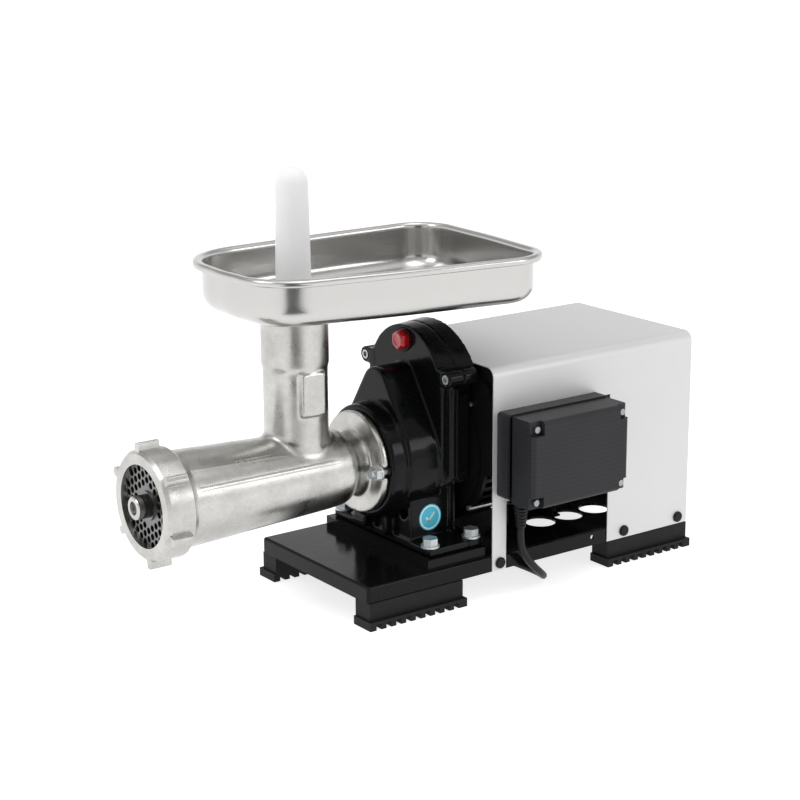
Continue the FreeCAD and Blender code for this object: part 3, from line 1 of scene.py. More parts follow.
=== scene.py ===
import bmesh
import bpy
import json
import math
import numpy as np
from mathutils import Matrix, Vector

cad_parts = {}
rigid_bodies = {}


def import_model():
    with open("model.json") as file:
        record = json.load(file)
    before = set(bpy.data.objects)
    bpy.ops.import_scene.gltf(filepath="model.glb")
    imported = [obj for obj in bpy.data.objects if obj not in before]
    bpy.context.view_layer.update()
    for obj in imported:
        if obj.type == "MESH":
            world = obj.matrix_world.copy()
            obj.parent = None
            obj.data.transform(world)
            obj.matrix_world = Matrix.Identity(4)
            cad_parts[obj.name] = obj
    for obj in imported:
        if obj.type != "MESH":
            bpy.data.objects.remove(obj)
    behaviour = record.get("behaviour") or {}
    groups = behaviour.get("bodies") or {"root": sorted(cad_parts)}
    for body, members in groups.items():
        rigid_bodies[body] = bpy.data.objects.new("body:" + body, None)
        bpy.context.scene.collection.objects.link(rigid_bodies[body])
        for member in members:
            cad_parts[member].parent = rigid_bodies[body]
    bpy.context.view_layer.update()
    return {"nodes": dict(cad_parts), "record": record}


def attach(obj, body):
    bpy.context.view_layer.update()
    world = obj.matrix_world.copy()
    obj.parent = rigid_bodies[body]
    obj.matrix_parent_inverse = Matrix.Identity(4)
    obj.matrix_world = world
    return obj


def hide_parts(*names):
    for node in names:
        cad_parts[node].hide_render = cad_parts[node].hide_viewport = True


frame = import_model()
NODES = frame["nodes"]
MM = 0.001
AXIS_HEIGHT = 126.5   # of the auger above the floor, mm
NECK_X = -0.2085


# ------------------------------------------------------------------ materials
class Tree:
    """Builds a node material with a principled shader."""

    def __init__(self, name, **values):
        self.material = bpy.data.materials.new(name)
        self.material.use_nodes = True
        self.nodes = self.material.node_tree.nodes
        self.links = self.material.node_tree.links
        self.shader = self.nodes["Principled BSDF"]
        self.set(self.shader, **values)
        self.place = self.nodes.new("ShaderNodeTexCoord").outputs["Object"]

    def set(self, node, **values):
        for key, value in values.items():
            socket = node.inputs[key.replace("_", " ")]
            if isinstance(value, bpy.types.NodeSocket):
                self.links.new(value, socket)
            elif isinstance(value, (tuple, list)) and len(value) == 3 and socket.type == "RGBA":
                socket.default_value = (*value, 1)
            else:
                socket.default_value = value
        return node

    def stretched(self, scale):
        """The place, with each direction scaled by its own factor."""
        node = self.nodes.new("ShaderNodeMapping")
        self.links.new(self.place, node.inputs["Vector"])
        node.inputs["Scale"].default_value = scale
        return node.outputs["Vector"]

    def noise(self, scale, detail=4, rough=0.55, vector=None):
        node = self.nodes.new("ShaderNodeTexNoise")
        self.set(node, Scale=scale, Detail=detail, Roughness=rough)
        self.links.new(vector or self.place, node.inputs["Vector"])
        return node.outputs["Fac"]

    def ramp(self, value, low, high, at=(0.35, 0.65)):
        """Value between two places in its range becomes a colour or a number."""
        node = self.nodes.new("ShaderNodeMapRange")
        self.links.new(value, node.inputs["Value"])
        node.inputs["From Min"].default_value, node.inputs["From Max"].default_value = at
        if isinstance(low, (tuple, list)):
            mix = self.nodes.new("ShaderNodeMix")
            mix.data_type = "RGBA"
            self.links.new(node.outputs["Result"], mix.inputs["Factor"])
            mix.inputs[6].default_value = (*low, 1)
            mix.inputs[7].default_value = (*high, 1)
            return mix.outputs[2]
        node.inputs["To Min"].default_value, node.inputs["To Max"].default_value = low, high
        return node.outputs["Result"]

    def add(self, *values):
        total = values[0]
        for value in values[1:]:
            node = self.nodes.new("ShaderNodeMath")
            node.operation = "ADD"
            self.links.new(total, node.inputs[0])
            self.links.new(value, node.inputs[1])
            total = node.outputs[0]
        return total

    def times(self, value, factor):
        node = self.nodes.new("ShaderNodeMath")
        node.operation = "MULTIPLY"
        self.links.new(value, node.inputs[0])
        if isinstance(factor, bpy.types.NodeSocket):
            self.links.new(factor, node.inputs[1])
        else:
            node.inputs[1].default_value = factor
        return node.outputs[0]

    def level(self, axis):
        """One coordinate of the place, in metres."""
        node = self.nodes.new("ShaderNodeSeparateXYZ")
        self.links.new(self.place, node.inputs["Vector"])
        return node.outputs[axis]

    def distance(self, centre):
        """How far the place is from a point, in metres."""
        node = self.nodes.new("ShaderNodeVectorMath")
        node.operation = "DISTANCE"
        self.links.new(self.place, node.inputs[0])
        node.inputs[1].default_value = centre
        return node.outputs["Value"]

    def shaded(self, base, other, mask):
        """The base colour, and the other one where the mask is 1."""
        mix = self.nodes.new("ShaderNodeMix")
        mix.data_type = "RGBA"
        self.links.new(mask, mix.inputs["Factor"])
        self.links.new(base, mix.inputs[6])
        mix.inputs[7].default_value = (*other, 1)
        return mix.outputs[2]

    def bump(self, *layers):
        """Layers are (height, depth in metres)."""
        total = self.add(*[self.times(height, depth) for height, depth in layers])
        node = self.nodes.new("ShaderNodeBump")
        node.inputs["Distance"].default_value = 1.0
        node.inputs["Strength"].default_value = 1.0
        self.links.new(total, node.inputs["Height"])
        self.links.new(node.outputs["Normal"], self.shader.inputs["Normal"])


def cast_tin(name):
    """Tin plate over a sand casting: satin, mottled and faintly pitted."""
    t = Tree(name, Metallic=1.0)
    blotch = t.noise(26, 6, 0.62)
    grit = t.noise(620, 4, 0.65)
    pits = t.noise(170, 5, 0.7)
    shade = t.add(t.times(blotch, 0.6), t.times(pits, 0.22), t.times(grit, 0.18))
    t.set(t.shader, Base_Color=t.ramp(shade, (0.40, 0.395, 0.378), (0.56, 0.554, 0.532),
                                      (0.38, 0.62)),
          Roughness=t.ramp(t.noise(60, 5, 0.6), 0.24, 0.36, (0.3, 0.7)))
    t.bump((t.noise(420, 2, 0.5), 0.00005), (t.noise(30, 2), 0.0003))
    return t.material


def steel_sheet(name, colour, rough, grain, grain_depth, wave=0.0, metal=1.0):
    """Stainless sheet: rolling grain, faint smears and hardly any unevenness."""
    t = Tree(name, Metallic=metal)
    lines = t.noise(1.0, 4, 0.7, t.stretched(grain))
    smear = t.noise(9, 4, 0.6)
    low = tuple(c * 0.96 for c in colour)
    t.set(t.shader, Base_Color=t.ramp(smear, low, colour, (0.3, 0.7)),
          Roughness=t.add(t.ramp(lines, rough * 0.85, rough * 1.1, (0.3, 0.7)),
                          t.ramp(smear, 0.0, rough * 0.12, (0.3, 0.7))))
    t.bump((lines, grain_depth), (t.noise(5, 2), wave))
    return t.material


def enamel(name, colour, rough, dust=0.012):
    """Gloss paint over a casting: orange peel, soft hollows and a little dust."""
    t = Tree(name, Coat_Weight=0.0, Coat_Roughness=0.06, Specular_IOR_Level=0.14)
    speck = t.noise(900, 5, 0.75)
    t.set(t.shader, Base_Color=t.ramp(speck, colour, tuple(c + dust for c in colour),
                                      (0.52, 0.8)),
          Roughness=t.ramp(t.noise(40, 4), rough, rough * 1.6, (0.3, 0.7)))
    t.bump((t.noise(180, 2, 0.5), 0.00005), (t.noise(38, 3, 0.5), 0.00018))
    return t.material


def moulded(name, colour, rough, grain=900, depth=0.00004, stripes=0.0, shine=0.3):
    """Moulded plastic with a fine spark-eroded grain and, on the box, faint stripes."""
    t = Tree(name, Specular_IOR_Level=shine)
    fine = t.noise(grain, 3, 0.6)
    broad = t.noise(22, 4, 0.6)
    low = tuple(c * 0.85 for c in colour)
    high = tuple(min(1.0, c * 1.12) for c in colour)
    t.set(t.shader, Base_Color=t.ramp(broad, low, high, (0.3, 0.7)),
          Roughness=t.ramp(fine, rough * 0.9, rough * 1.12, (0.3, 0.7)))
    layers = [(fine, depth), (broad, 0.0001)]
    if stripes:
        wave = t.nodes.new("ShaderNodeTexWave")
        wave.bands_direction = "Z"
        t.set(wave, Scale=stripes, Distortion=0.15, Detail=1.0)
        t.links.new(t.place, wave.inputs["Vector"])
        layers.append((wave.outputs["Fac"], 0.00005))
        shade = t.nodes.new("ShaderNodeMix")
        shade.data_type = "RGBA"
        t.links.new(wave.outputs["Fac"], shade.inputs["Factor"])
        t.links.new(t.ramp(broad, low, colour), shade.inputs[6])
        t.links.new(t.ramp(broad, colour, high), shade.inputs[7])
        t.links.new(shade.outputs[2], t.shader.inputs["Base Color"])
    t.bump(*layers)
    return t.material


def rubber(name, colour, rough=0.62):
    """Matt rubber with a fine grain and a pale bloom."""
    t = Tree(name, Specular_IOR_Level=0.25)
    fine = t.noise(700, 4, 0.7)
    bloom = t.noise(30, 4, 0.6)
    t.set(t.shader, Base_Color=t.ramp(bloom, colour, tuple(c * 1.6 for c in colour),
                                      (0.35, 0.75)),
          Roughness=t.ramp(fine, rough - 0.08, rough + 0.08, (0.3, 0.7)))
    t.bump((fine, 0.00006), (bloom, 0.0002))
    return t.material


def plated(name, colour, rough=0.25, scratches=0.00003):
    """Zinc or nickel plate on turned steel."""
    t = Tree(name, Metallic=1.0)
    tint = t.noise(90, 4, 0.6)
    low = (colour[0] * 0.82, colour[1] * 0.86, colour[2] * 0.92)
    t.set(t.shader, Base_Color=t.ramp(tint, low, colour, (0.3, 0.7)),
          Roughness=t.ramp(t.noise(300, 3), rough * 0.8, rough * 1.3, (0.3, 0.7)))
    t.bump((t.noise(1.0, 3, 0.7, t.stretched((2600, 300, 300))), scratches))
    return t.material


def gloss(name, colour, rough=0.22):
    """Shiny plastic, film or lacquer."""
    t = Tree(name, Coat_Weight=0.4, Coat_Roughness=0.08)
    broad = t.noise(60, 3)
    t.set(t.shader, Base_Color=t.ramp(broad, tuple(c * 0.85 for c in colour), colour),
          Roughness=t.ramp(t.noise(400, 3), rough * 0.8, rough * 1.3, (0.3, 0.7)))
    t.bump((t.noise(300, 3), 0.00003))
    return t.material


def label_film(name, colour, rim, centre, radius):
    """Round label with a pale ring near its edge."""
    t = Tree(name, Roughness=0.32, Coat_Weight=0.3)
    reach = t.distance(centre)
    inside = t.ramp(reach, 0.0, 1.0, (radius * 0.80, radius * 0.82))
    outside = t.ramp(reach, 1.0, 0.0, (radius * 0.90, radius * 0.92))
    ring = t.times(inside, outside)
    grain = t.ramp(t.noise(240, 3), tuple(c * 0.94 for c in colour), colour, (0.3, 0.7))
    t.set(t.shader, Base_Color=t.shaded(grain, rim, ring))
    t.bump((t.noise(300, 2), 0.00002))
    return t.material


def milky(name, colour):
    """Polyethylene that lets a little light through, with faint moulding marks and painted shade
    that darkens its upper part.
    """
    t = Tree(name, Subsurface_Weight=0.2, Subsurface_Scale=0.006, Roughness=0.42,
             Specular_IOR_Level=0.35)
    painted_top_shade = tuple(c * 0.84 for c in colour)
    # Painted shade: the colour turns darker towards the top of the pusher, where the lamps light
    # it most.
    t.set(t.shader, Base_Color=t.ramp(t.level("Z"), colour, painted_top_shade, (0.28, 0.42)))
    rings = t.noise(1.0, 2, 0.5, t.stretched((40, 40, 900)))
    t.bump((t.noise(420, 2), 0.00002), (rings, 0.00002))
    return t.material


MATERIALS = {
    "cast_tin": cast_tin("cast_tin"),
    "tray_steel": steel_sheet("tray_steel", (0.53, 0.524, 0.512), 0.22, (60, 900, 900),
                              0.000004, 0.0006),
    "cover_steel": steel_sheet("cover_steel", (0.63, 0.63, 0.632), 0.46, (14, 1400, 1400),
                               0.000002, metal=0.5),
    "gloss_black": enamel("gloss_black", (0.003, 0.0033, 0.0035), 0.11),
    "black_shield": enamel("black_shield", (0.004, 0.004, 0.004), 0.30),
    "box_plastic": moulded("box_plastic", (0.019, 0.019, 0.0215), 0.42, stripes=75, shine=0.22),
    "black_plastic": moulded("black_plastic", (0.005, 0.005, 0.0055), 0.38, shine=0.22),
    "foot_rubber": rubber("foot_rubber", (0.004, 0.004, 0.0045)),
    "zinc_steel": plated("zinc_steel", (0.58, 0.59, 0.585), 0.46),
    "black_screw": enamel("black_screw", (0.009, 0.009, 0.010), 0.3),
    "red_plastic": gloss("red_plastic", (0.52, 0.003, 0.010)),
    "sticker_cyan": label_film("sticker_cyan", (0.02, 0.50, 0.68), (0.72, 0.86, 0.90),
                               (-0.094, -0.0464, 0.075), 0.0125),
    "lid_screw_steel": plated("lid_screw_steel", (0.34, 0.35, 0.34), 0.36),
    "gear_steel": plated("gear_steel", (0.50, 0.50, 0.51), 0.3),
    "knife_steel": plated("knife_steel", (0.20, 0.197, 0.19), 0.32),
    "bearing_steel": plated("bearing_steel", (0.70, 0.70, 0.71), 0.12),
    "core_steel": plated("core_steel", (0.36, 0.37, 0.39), 0.4),
    "copper_winding": gloss("copper_winding", (0.45, 0.17, 0.07), 0.3),
    "seal_rubber": rubber("seal_rubber", (0.006, 0.006, 0.006)),
    "white_plastic": milky("white_plastic", (0.90, 0.90, 0.905)),
    "cord_black": rubber("cord_black", (0.005, 0.005, 0.0055), 0.42),
    "capacitor_film": gloss("capacitor_film", (0.75, 0.75, 0.72), 0.3),
}
SLOT_OF = {part["node"]: part["material_slot"] for part in frame["record"]["subparts"]}


def dress(thing, slot):
    """Give a piece the finish of a material slot."""
    thing.data.materials.clear()
    thing.data.materials.append(MATERIALS[slot])


def soften(thing, width):
    """Round the sharp edges of a solid a little."""
    bevel = thing.modifiers.new("edge", "BEVEL")
    bevel.width = width
    bevel.segments = 2
    bevel.limit_method = "ANGLE"
    bevel.angle_limit = math.radians(32)
    bevel.harden_normals = False


for label, thing in NODES.items():
    thing.data.materials.clear()
    thing.data.materials.append(MATERIALS[SLOT_OF[label]])
NODES["terminal_box_screws"].data.materials[0] = MATERIALS["lid_screw_steel"]


# --------------------------------------------------------------- mesh helpers
def grid_mesh(name, rings, closed_ring=True, caps=(False, False)):
    """A surface from rings of points that all have the same count."""
    mesh = bmesh.new()
    rows = [[mesh.verts.new(point) for point in ring] for ring in rings]
    for low, high in zip(rows, rows[1:]):
        count = len(low)
        for index in range(count if closed_ring else count - 1):
            following = (index + 1) % count
            mesh.faces.new((low[index], low[following], high[following], high[index]))
    if caps[0]:
        mesh.faces.new(list(reversed(rows[0])))
    if caps[1]:
        mesh.faces.new(rows[-1])
    bmesh.ops.recalc_face_normals(mesh, faces=mesh.faces)
    data = bpy.data.meshes.new(name)
    mesh.to_mesh(data)
    mesh.free()
    thing = bpy.data.objects.new(name, data)
    bpy.context.collection.objects.link(thing)
    for face in data.polygons:
        face.use_smooth = True
    return thing


def lathe(name, profile, axis, centre, steps=64):
    """Turn (along, radius) points round an axis through a centre, all in mm."""
    rings = []
    for along, radius in profile:
        ring = []
        for step in range(steps):
            angle = 2 * math.pi * step / steps
            u, v = radius * math.cos(angle), radius * math.sin(angle)
            spot = {"X": (along, u, v), "Y": (v, along, u), "Z": (u, v, along)}[axis]
            ring.append(Vector(spot) * MM + Vector(centre) * MM)
        rings.append(ring)
    return grid_mesh(name, rings, caps=(True, True))


def merged(name, things):
    """Several meshes as one object."""
    mesh = bmesh.new()
    for thing in things:
        mesh.from_mesh(thing.data)
    data = bpy.data.meshes.new(name)
    mesh.to_mesh(data)
    mesh.free()
    for thing in things:
        bpy.data.objects.remove(thing)
    result = bpy.data.objects.new(name, data)
    bpy.context.collection.objects.link(result)
    return result


def fitted(thing, body, slot, *nodes):
    """Give a piece its finish, its body and the CAD nodes that it stands for."""
    dress(thing, slot)
    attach(thing, body)
    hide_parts(*nodes)
    return thing


# ------------------------------------------------- softened edges on solid parts
def cast_over(label, voxel, rounds):
    """Remesh a casting so that its corners and joins run together."""
    thing = NODES[label]
    remesh = thing.modifiers.new("cast", "REMESH")
    remesh.mode = "VOXEL"
    remesh.voxel_size = voxel * MM
    remesh.use_smooth_shade = True
    smooth = thing.modifiers.new("cast_smooth", "SMOOTH")
    smooth.factor = 0.5
    smooth.iterations = rounds


EDGES = {
    "base_plate": 0.6, "riser_plate": 0.8, "foot_front_left": 0.7, "foot_front_right": 0.7,
    "foot_rear_left": 0.7, "foot_rear_right": 0.7, "gearbox_bolts": 0.7,
    "gearbox_bolt_nuts": 0.5, "gearbox_screws": 0.4, "filler_plug_seal": 0.4,
    "motor_front_shield": 0.8, "motor_cover": 0.3, "cover_screws": 0.4,
    "terminal_box_base": 0.8, "terminal_box_lid": 0.7, "terminal_box_seal": 0.3,
    "terminal_box_screws": 0.4, "switch_body": 0.5, "switch_rocker": 0.6,
    "clamp_nuts": 0.6, "clamp_studs": 0.5, "perforated_plate": 0.3, "knife": 0.4,
    "ring_nut": 0.9, "auger": 0.4, "power_plug": 0.8, "plate_key": 0.2, "check_sticker": 0.1,
    "output_shaft": 0.3, "run_capacitor": 0.3, "terminal_strip": 0.4, "motor_bracket": 0.4,
    "fan_cowl": 0.4, "motor_rear_shield": 0.5, "tie_rods": 0.3, "cooling_fan": 0.3,
}
for label, width in EDGES.items():
    soften(NODES[label], width * MM)
cast_over("gearbox_front_half", 1.2, 4)
cast_over("gearbox_rear_half", 1.2, 4)


# ------------------------------------------------------------- grinder body
BARREL_FRONT, BARREL_LENGTH = -338, 155
BARREL_FRONT_RADIUS, BARREL_BACK_RADIUS = 43.4, 36.8
NECK_MIDDLE, NECK_RADIUS = -208.5, 29


def barrel_narrowing(x):
    """How much smaller the barrel's radius is at x than at its front, in mm."""
    return (x - BARREL_FRONT) * (BARREL_FRONT_RADIUS - BARREL_BACK_RADIUS) / BARREL_LENGTH


def weld_seam():
    """The line on which the neck meets the barrel, as points in metres."""
    points = []
    for step in range(180):
        angle = 2 * math.pi * step / 180
        x, y = NECK_MIDDLE + NECK_RADIUS * math.cos(angle), NECK_RADIUS * math.sin(angle)
        radius = BARREL_FRONT_RADIUS - barrel_narrowing(x)
        points.append(Vector((x, y, AXIS_HEIGHT + math.sqrt(radius ** 2 - y ** 2))) * MM)
    return points


def relax(mesh, rounds, factor):
    """Pull each vertex towards its neighbours; factor is a number per vertex."""
    count = len(mesh.vertices)
    places = np.empty(count * 3)
    mesh.vertices.foreach_get("co", places)
    places = places.reshape(-1, 3)
    edges = np.empty(len(mesh.edges) * 2, int)
    mesh.edges.foreach_get("vertices", edges)
    first, second = edges.reshape(-1, 2).T
    degree = np.bincount(first, minlength=count) + np.bincount(second, minlength=count)
    for _ in range(rounds):
        pull = np.empty_like(places)
        for axis in range(3):
            pull[:, axis] = (np.bincount(first, places[second, axis], count)
                             + np.bincount(second, places[first, axis], count))
        places += factor[:, None] * (pull / degree[:, None] - places)
    mesh.vertices.foreach_set("co", places.ravel())
    mesh.update()


def make_casting():
    """The barrel and neck as one casting, with a soft root where they meet."""
    source = NODES["grinder_body"]
    remesh = source.modifiers.new("cast", "REMESH")
    remesh.mode = "VOXEL"
    remesh.voxel_size = 1.45 * MM
    bpy.context.view_layer.update()
    built = source.evaluated_get(bpy.context.evaluated_depsgraph_get())
    mesh = bpy.data.meshes.new_from_object(built)
    source.modifiers.remove(remesh)
    count = len(mesh.vertices)
    relax(mesh, 5, np.full(count, 0.5))
    places = np.empty(count * 3)
    mesh.vertices.foreach_get("co", places)
    places = places.reshape(-1, 3) / MM
    seam = np.array([point / MM for point in weld_seam()])
    near = np.full(count, 1e9)
    for point in seam:
        near = np.minimum(near, np.linalg.norm(places - point, axis=1))
    outside = ((np.hypot(places[:, 0] - NECK_MIDDLE, places[:, 1]) > 27.3)
               & (np.hypot(places[:, 1], places[:, 2] - AXIS_HEIGHT) > 34.2))
    relax(mesh, 45, np.where(outside, np.clip(1 - near / 9, 0, 1) * 0.6, 0.0))
    for face in mesh.polygons:
        face.use_smooth = True
    body = bpy.data.objects.new("barrel_casting", mesh)
    bpy.context.collection.objects.link(body)
    mesh.transform(source.matrix_world)
    fitted(body, "frame", "cast_tin", "grinder_body")


def make_ridge(name, tilt, start, end):
    """A low ridge along the barrel; tilt is its angle from the top, in degrees."""
    rings = []
    for step in range(41):
        x = start + (end - start) * step / 40
        radius = 43.35 - barrel_narrowing(x)
        fade = min(1.0, 6 * step / 40, 6 * (40 - step) / 40)
        ring = []
        for across, height in ((-3.4, -0.35), (-2.2, 0.0), (-1.1, 0.28), (0, 0.4), (1.1, 0.28),
                               (2.2, 0.0), (3.4, -0.35)):
            reach = radius + (height * fade if height > 0 else height)
            angle = math.radians(tilt) + across / radius
            ring.append(Vector((x, -reach * math.sin(angle),
                                AXIS_HEIGHT + reach * math.cos(angle))) * MM)
        rings.append(ring)
    ridge = grid_mesh(name, rings, closed_ring=False)
    dress(ridge, "cast_tin")
    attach(ridge, "frame")


make_casting()
for number, (tilt, end) in enumerate(((65, -184), (-65, -184), (41, -236), (-41, -236))):
    make_ridge(f"casting_ridge_{number}", tilt, -337, end)


# -------------------------------------------------------------- small details
def make_filler_plug():
    """Hexagon head of the filler plug with worn corners."""
    rings = []
    for along, reach, corner_cut in ((-89.0, 9.0, 0.93), (-89.6, 9.6, 0.95), (-94.5, 9.6, 0.95),
                                     (-96.4, 9.1, 0.93), (-97.4, 7.9, 0.90), (-97.6, 6.2, 0.88),
                                     (-97.1, 5.6, 0.88), (-96.9, 3.0, 1.0)):
        ring = []
        for step in range(48):
            angle = 2 * math.pi * step / 48
            corner = (angle % (math.pi / 3)) - math.pi / 6
            flat = reach * math.cos(math.pi / 6) / math.cos(corner)
            radius = min(flat, reach * corner_cut)
            ring.append(Vector((along, radius * math.sin(angle),
                                234 + radius * math.cos(angle))) * MM)
        rings.append(ring)
    fitted(grid_mesh("filler_plug", rings, caps=(True, True)), "frame", "red_plastic",
           "oil_filler_plug")


def make_tick():
    """A plain tick printed on the round label."""
    strokes = []
    for number, (start, end) in enumerate((((-98.6, 75.4), (-95.4, 71.2)),
                                           ((-95.9, 71.0), (-89.2, 79.4)))):
        start, end = Vector(start), Vector(end)
        along = (end - start).normalized()
        across = Vector((-along.y, along.x)) * 0.95
        ring = [start - across, end - across, end + across, start + across]
        rings = [[Vector((p.x, depth, p.y)) * MM for p in ring] for depth in (-46.2, -46.5)]
        strokes.append(grid_mesh(f"stroke_{number}", rings, caps=(True, True)))
    tick = merged("label_tick", strokes)
    tick.data.materials.append(gloss("label_white", (0.80, 0.88, 0.90), 0.35))
    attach(tick, "frame")


def make_pin_sleeve():
    """Dark sleeve on the auger's pin, behind its bright end: painted shade where the pin lies in
    shadow.
    """
    sleeve = lathe("pin_side", [(-372.9, 9.9), (-372.8, 10.36), (-362.7, 10.36), (-362.6, 9.9)],
                   "X", (0, 0, AXIS_HEIGHT), 56)
    # Painted shade: a dark finish on this sleeve stands in for the shadow on this part of the
    # pin.
    sleeve.data.materials.append(plated("pin_shadow_steel", (0.09, 0.088, 0.082), 0.35))
    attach(sleeve, "output_set")


make_filler_plug()
make_tick()
make_pin_sleeve()


# ------------------------------------------------------------------ feed tray
TRAY_CORNERS = ((-80, 91), (-70.3, -79.8), (216, -106), (220, 119))
TRAY_RADII = (70, 55, 44, 40)
TRAY_MIDDLE = Vector((70, 6))


def tray_outline(inset, bow=1.6, arc_steps=14, side_steps=12):
    """Points round the tray, measured from the neck, moved inwards by the inset."""
    corners = [Vector((x - math.copysign(inset, x - TRAY_MIDDLE.x), y - math.copysign(inset, y)))
               for x, y in TRAY_CORNERS]
    arcs = []
    for index, radius in enumerate(TRAY_RADII):
        radius -= inset
        here = corners[index]
        back = (corners[index - 1] - here).normalized()
        ahead = (corners[(index + 1) % 4] - here).normalized()
        half = back.angle(ahead) / 2
        hub = here + (back + ahead).normalized() * radius / math.sin(half)
        start = here + back * radius / math.tan(half) - hub
        sweep = (here + ahead * radius / math.tan(half) - hub).angle_signed(start)
        arcs.append([hub + Matrix.Rotation(sweep * step / arc_steps, 2) @ start
                     for step in range(arc_steps + 1)])
    points = []
    for index, arc in enumerate(arcs):
        points += arc
        end, start = arc[-1], arcs[(index + 1) % 4][0]
        outward = Vector(((start - end).y, -(start - end).x)).normalized()
        if (end - TRAY_MIDDLE).dot(outward) < 0:
            outward.negate()
        for step in range(1, side_steps):
            share = step / side_steps
            points.append(end.lerp(start, share) + outward * bow * math.sin(math.pi * share) ** 2)
    return points


def tray_ring(points, height):
    """Points round the neck as a ring of the tray, which is swivelled a little."""
    turn = Matrix.Rotation(math.radians(-3.8), 2)
    ring = []
    for point in points:
        spot = turn @ point
        ring.append(Vector((NECK_X + spot.x * MM, spot.y * MM, height * MM)))
    return ring


def make_tray():
    """Pressed tray: rolled rim, upright walls, floor and the spigot below it."""
    profile = [(1.3, 314.9), (0.5, 315.2), (0.1, 316.4), (0.0, 318.2), (0.4, 319.6),
               (1.4, 320.6), (2.8, 321.0), (4.6, 321.1), (6.4, 320.9), (7.9, 320.3),
               (8.8, 319.1), (9.2, 317.4), (9.3, 314), (9.3, 306), (9.25, 299), (9.2, 293.5)]
    radius, low = 13.8, 278.2
    for step in range(1, 9):
        angle = math.pi / 2 * step / 8
        profile.append((9.2 + radius * (1 - math.cos(angle)),
                        low + radius * (1 - math.sin(angle))))
    rings = [tray_ring(tray_outline(inset), height) for inset, height in profile]
    inner = tray_outline(23.0)
    for share in (0.12, 0.3, 0.5, 0.7, 0.86, 1.0):
        ring = [point.lerp(point.normalized() * 29.5, share) for point in inner]
        rings.append(tray_ring(ring, low - 0.3 * share))
    for radius, height in ((27.8, 277.7), (26.2, 277.0), (25.0, 275.6), (24.45, 273.4),
                           (24.35, 268), (24.35, 262)):
        rings.append(tray_ring([point.normalized() * radius for point in inner], height))
    tray = grid_mesh("pressed_tray", rings)
    sheet = tray.modifiers.new("sheet", "SOLIDIFY")
    sheet.thickness = 1.15 * MM
    up = sum(face.normal.z * face.area for face in tray.data.polygons)
    sheet.offset = -1 if up > 0 else 1
    fitted(tray, "tray", "tray_steel", "feed_tray")


make_tray()


# --------------------------------------------------------------------- pusher
def make_pusher():
    """Plastic pusher: a wide foot in the neck and a tapering, round-ended handle."""
    tip = 14.5
    profile = [(164, 0.5), (164, 21.6), (164.6, 23.0), (166, 23.6), (189, 23.6), (191, 22.8),
               (192, 20.8), (193, 18.6), (195, 17.2)]
    for share in (0.1, 0.3, 0.5, 0.7, 0.9):
        profile.append((195 + (389.3 - 195) * share, 17.2 + (tip + 0.05 - 17.2) * share))
    for step in range(11):
        angle = math.pi / 2 * step / 10
        profile.append((403.8 - tip * (1 - math.sin(angle)),
                        max(0.3, tip * math.cos(angle) ** 0.8)))
    fitted(lathe("pestle", profile, "Z", (NECK_X / MM, 0, 0), 72), "pestle",
           "white_plastic", "pusher")


make_pusher()


# ----------------------------------------------------------- mains lead and plug
LEAD_ROUTE = (
    (-27, -96, 66), (-28, -96.5, 52), (-24, -97, 38.5), (-14, -98, 26), (-1, -95, 14.5),
    (11, -86, 6), (18, -70, 3.5), (18, -46, 3.5), (14.5, -10, 3.5), (18, 32, 3.5),
    (14.5, 74, 3.5), (10, 112, 3.5), (9.5, 132, 3.5),
)
TAIL_ROUTE = ((68, 195.8, 10.6), (80, 196.2, 9.8), (92, 194.8, 11), (107, 193.2, 16.6))
COIL_MIDDLE = (55, 150)


def stepped(turned, stages):
    """The value at a turned angle; stages are (start, end, value before, value after)."""
    value = stages[0][2]
    for start, end, before, after in stages:
        if turned >= end:
            value = after
        elif turned > start:
            share = (turned - start) / (end - start)
            value = before + (after - before) * share * share * (3 - 2 * share)
    return value


def coil_points(step=15, last=1530):
    """Windings side by side on the floor, then a second layer in their hollows."""
    radii = [(285, 335, 45.5, 38.5), (645, 695, 38.5, 31.4), (940, 1000, 31.4, 35.0),
             (1270, 1330, 35.0, 42.0), (1470, 1530, 42.0, 45.5)]
    heights = [(925, 985, 3.5, 10.4)]
    points = []
    for turned in range(step, last + 1, step):
        angle = math.radians(190 - turned)
        radius = stepped(turned, radii) / 0.9915
        points.append((COIL_MIDDLE[0] + radius * math.cos(angle),
                       COIL_MIDDLE[1] + radius * math.sin(angle), stepped(turned, heights)))
    return points


def make_cord():
    """The whole lead as one curve, from the gland through the coil to the plug."""
    curve = bpy.data.curves.new("mains_lead", "CURVE")
    curve.dimensions = "3D"
    spline = curve.splines.new("NURBS")
    points = [*LEAD_ROUTE, *coil_points(), *TAIL_ROUTE]
    spline.points.add(len(points) - 1)
    for spot, point in zip(spline.points, points):
        spot.co = (*[value * MM for value in point], 1)
    spline.order_u = 3
    spline.use_endpoint_u = True
    spline.resolution_u = 6
    curve.resolution_u = 6
    curve.bevel_depth = 3.5 * MM
    curve.bevel_resolution = 6
    curve.use_fill_caps = True
    lead = bpy.data.objects.new("mains_lead", curve)
    bpy.context.collection.objects.link(lead)
    fitted(lead, "frame", "cord_black", "power_cord", "cord_coil", "cord_tail")
    make_plug()
    make_tie()


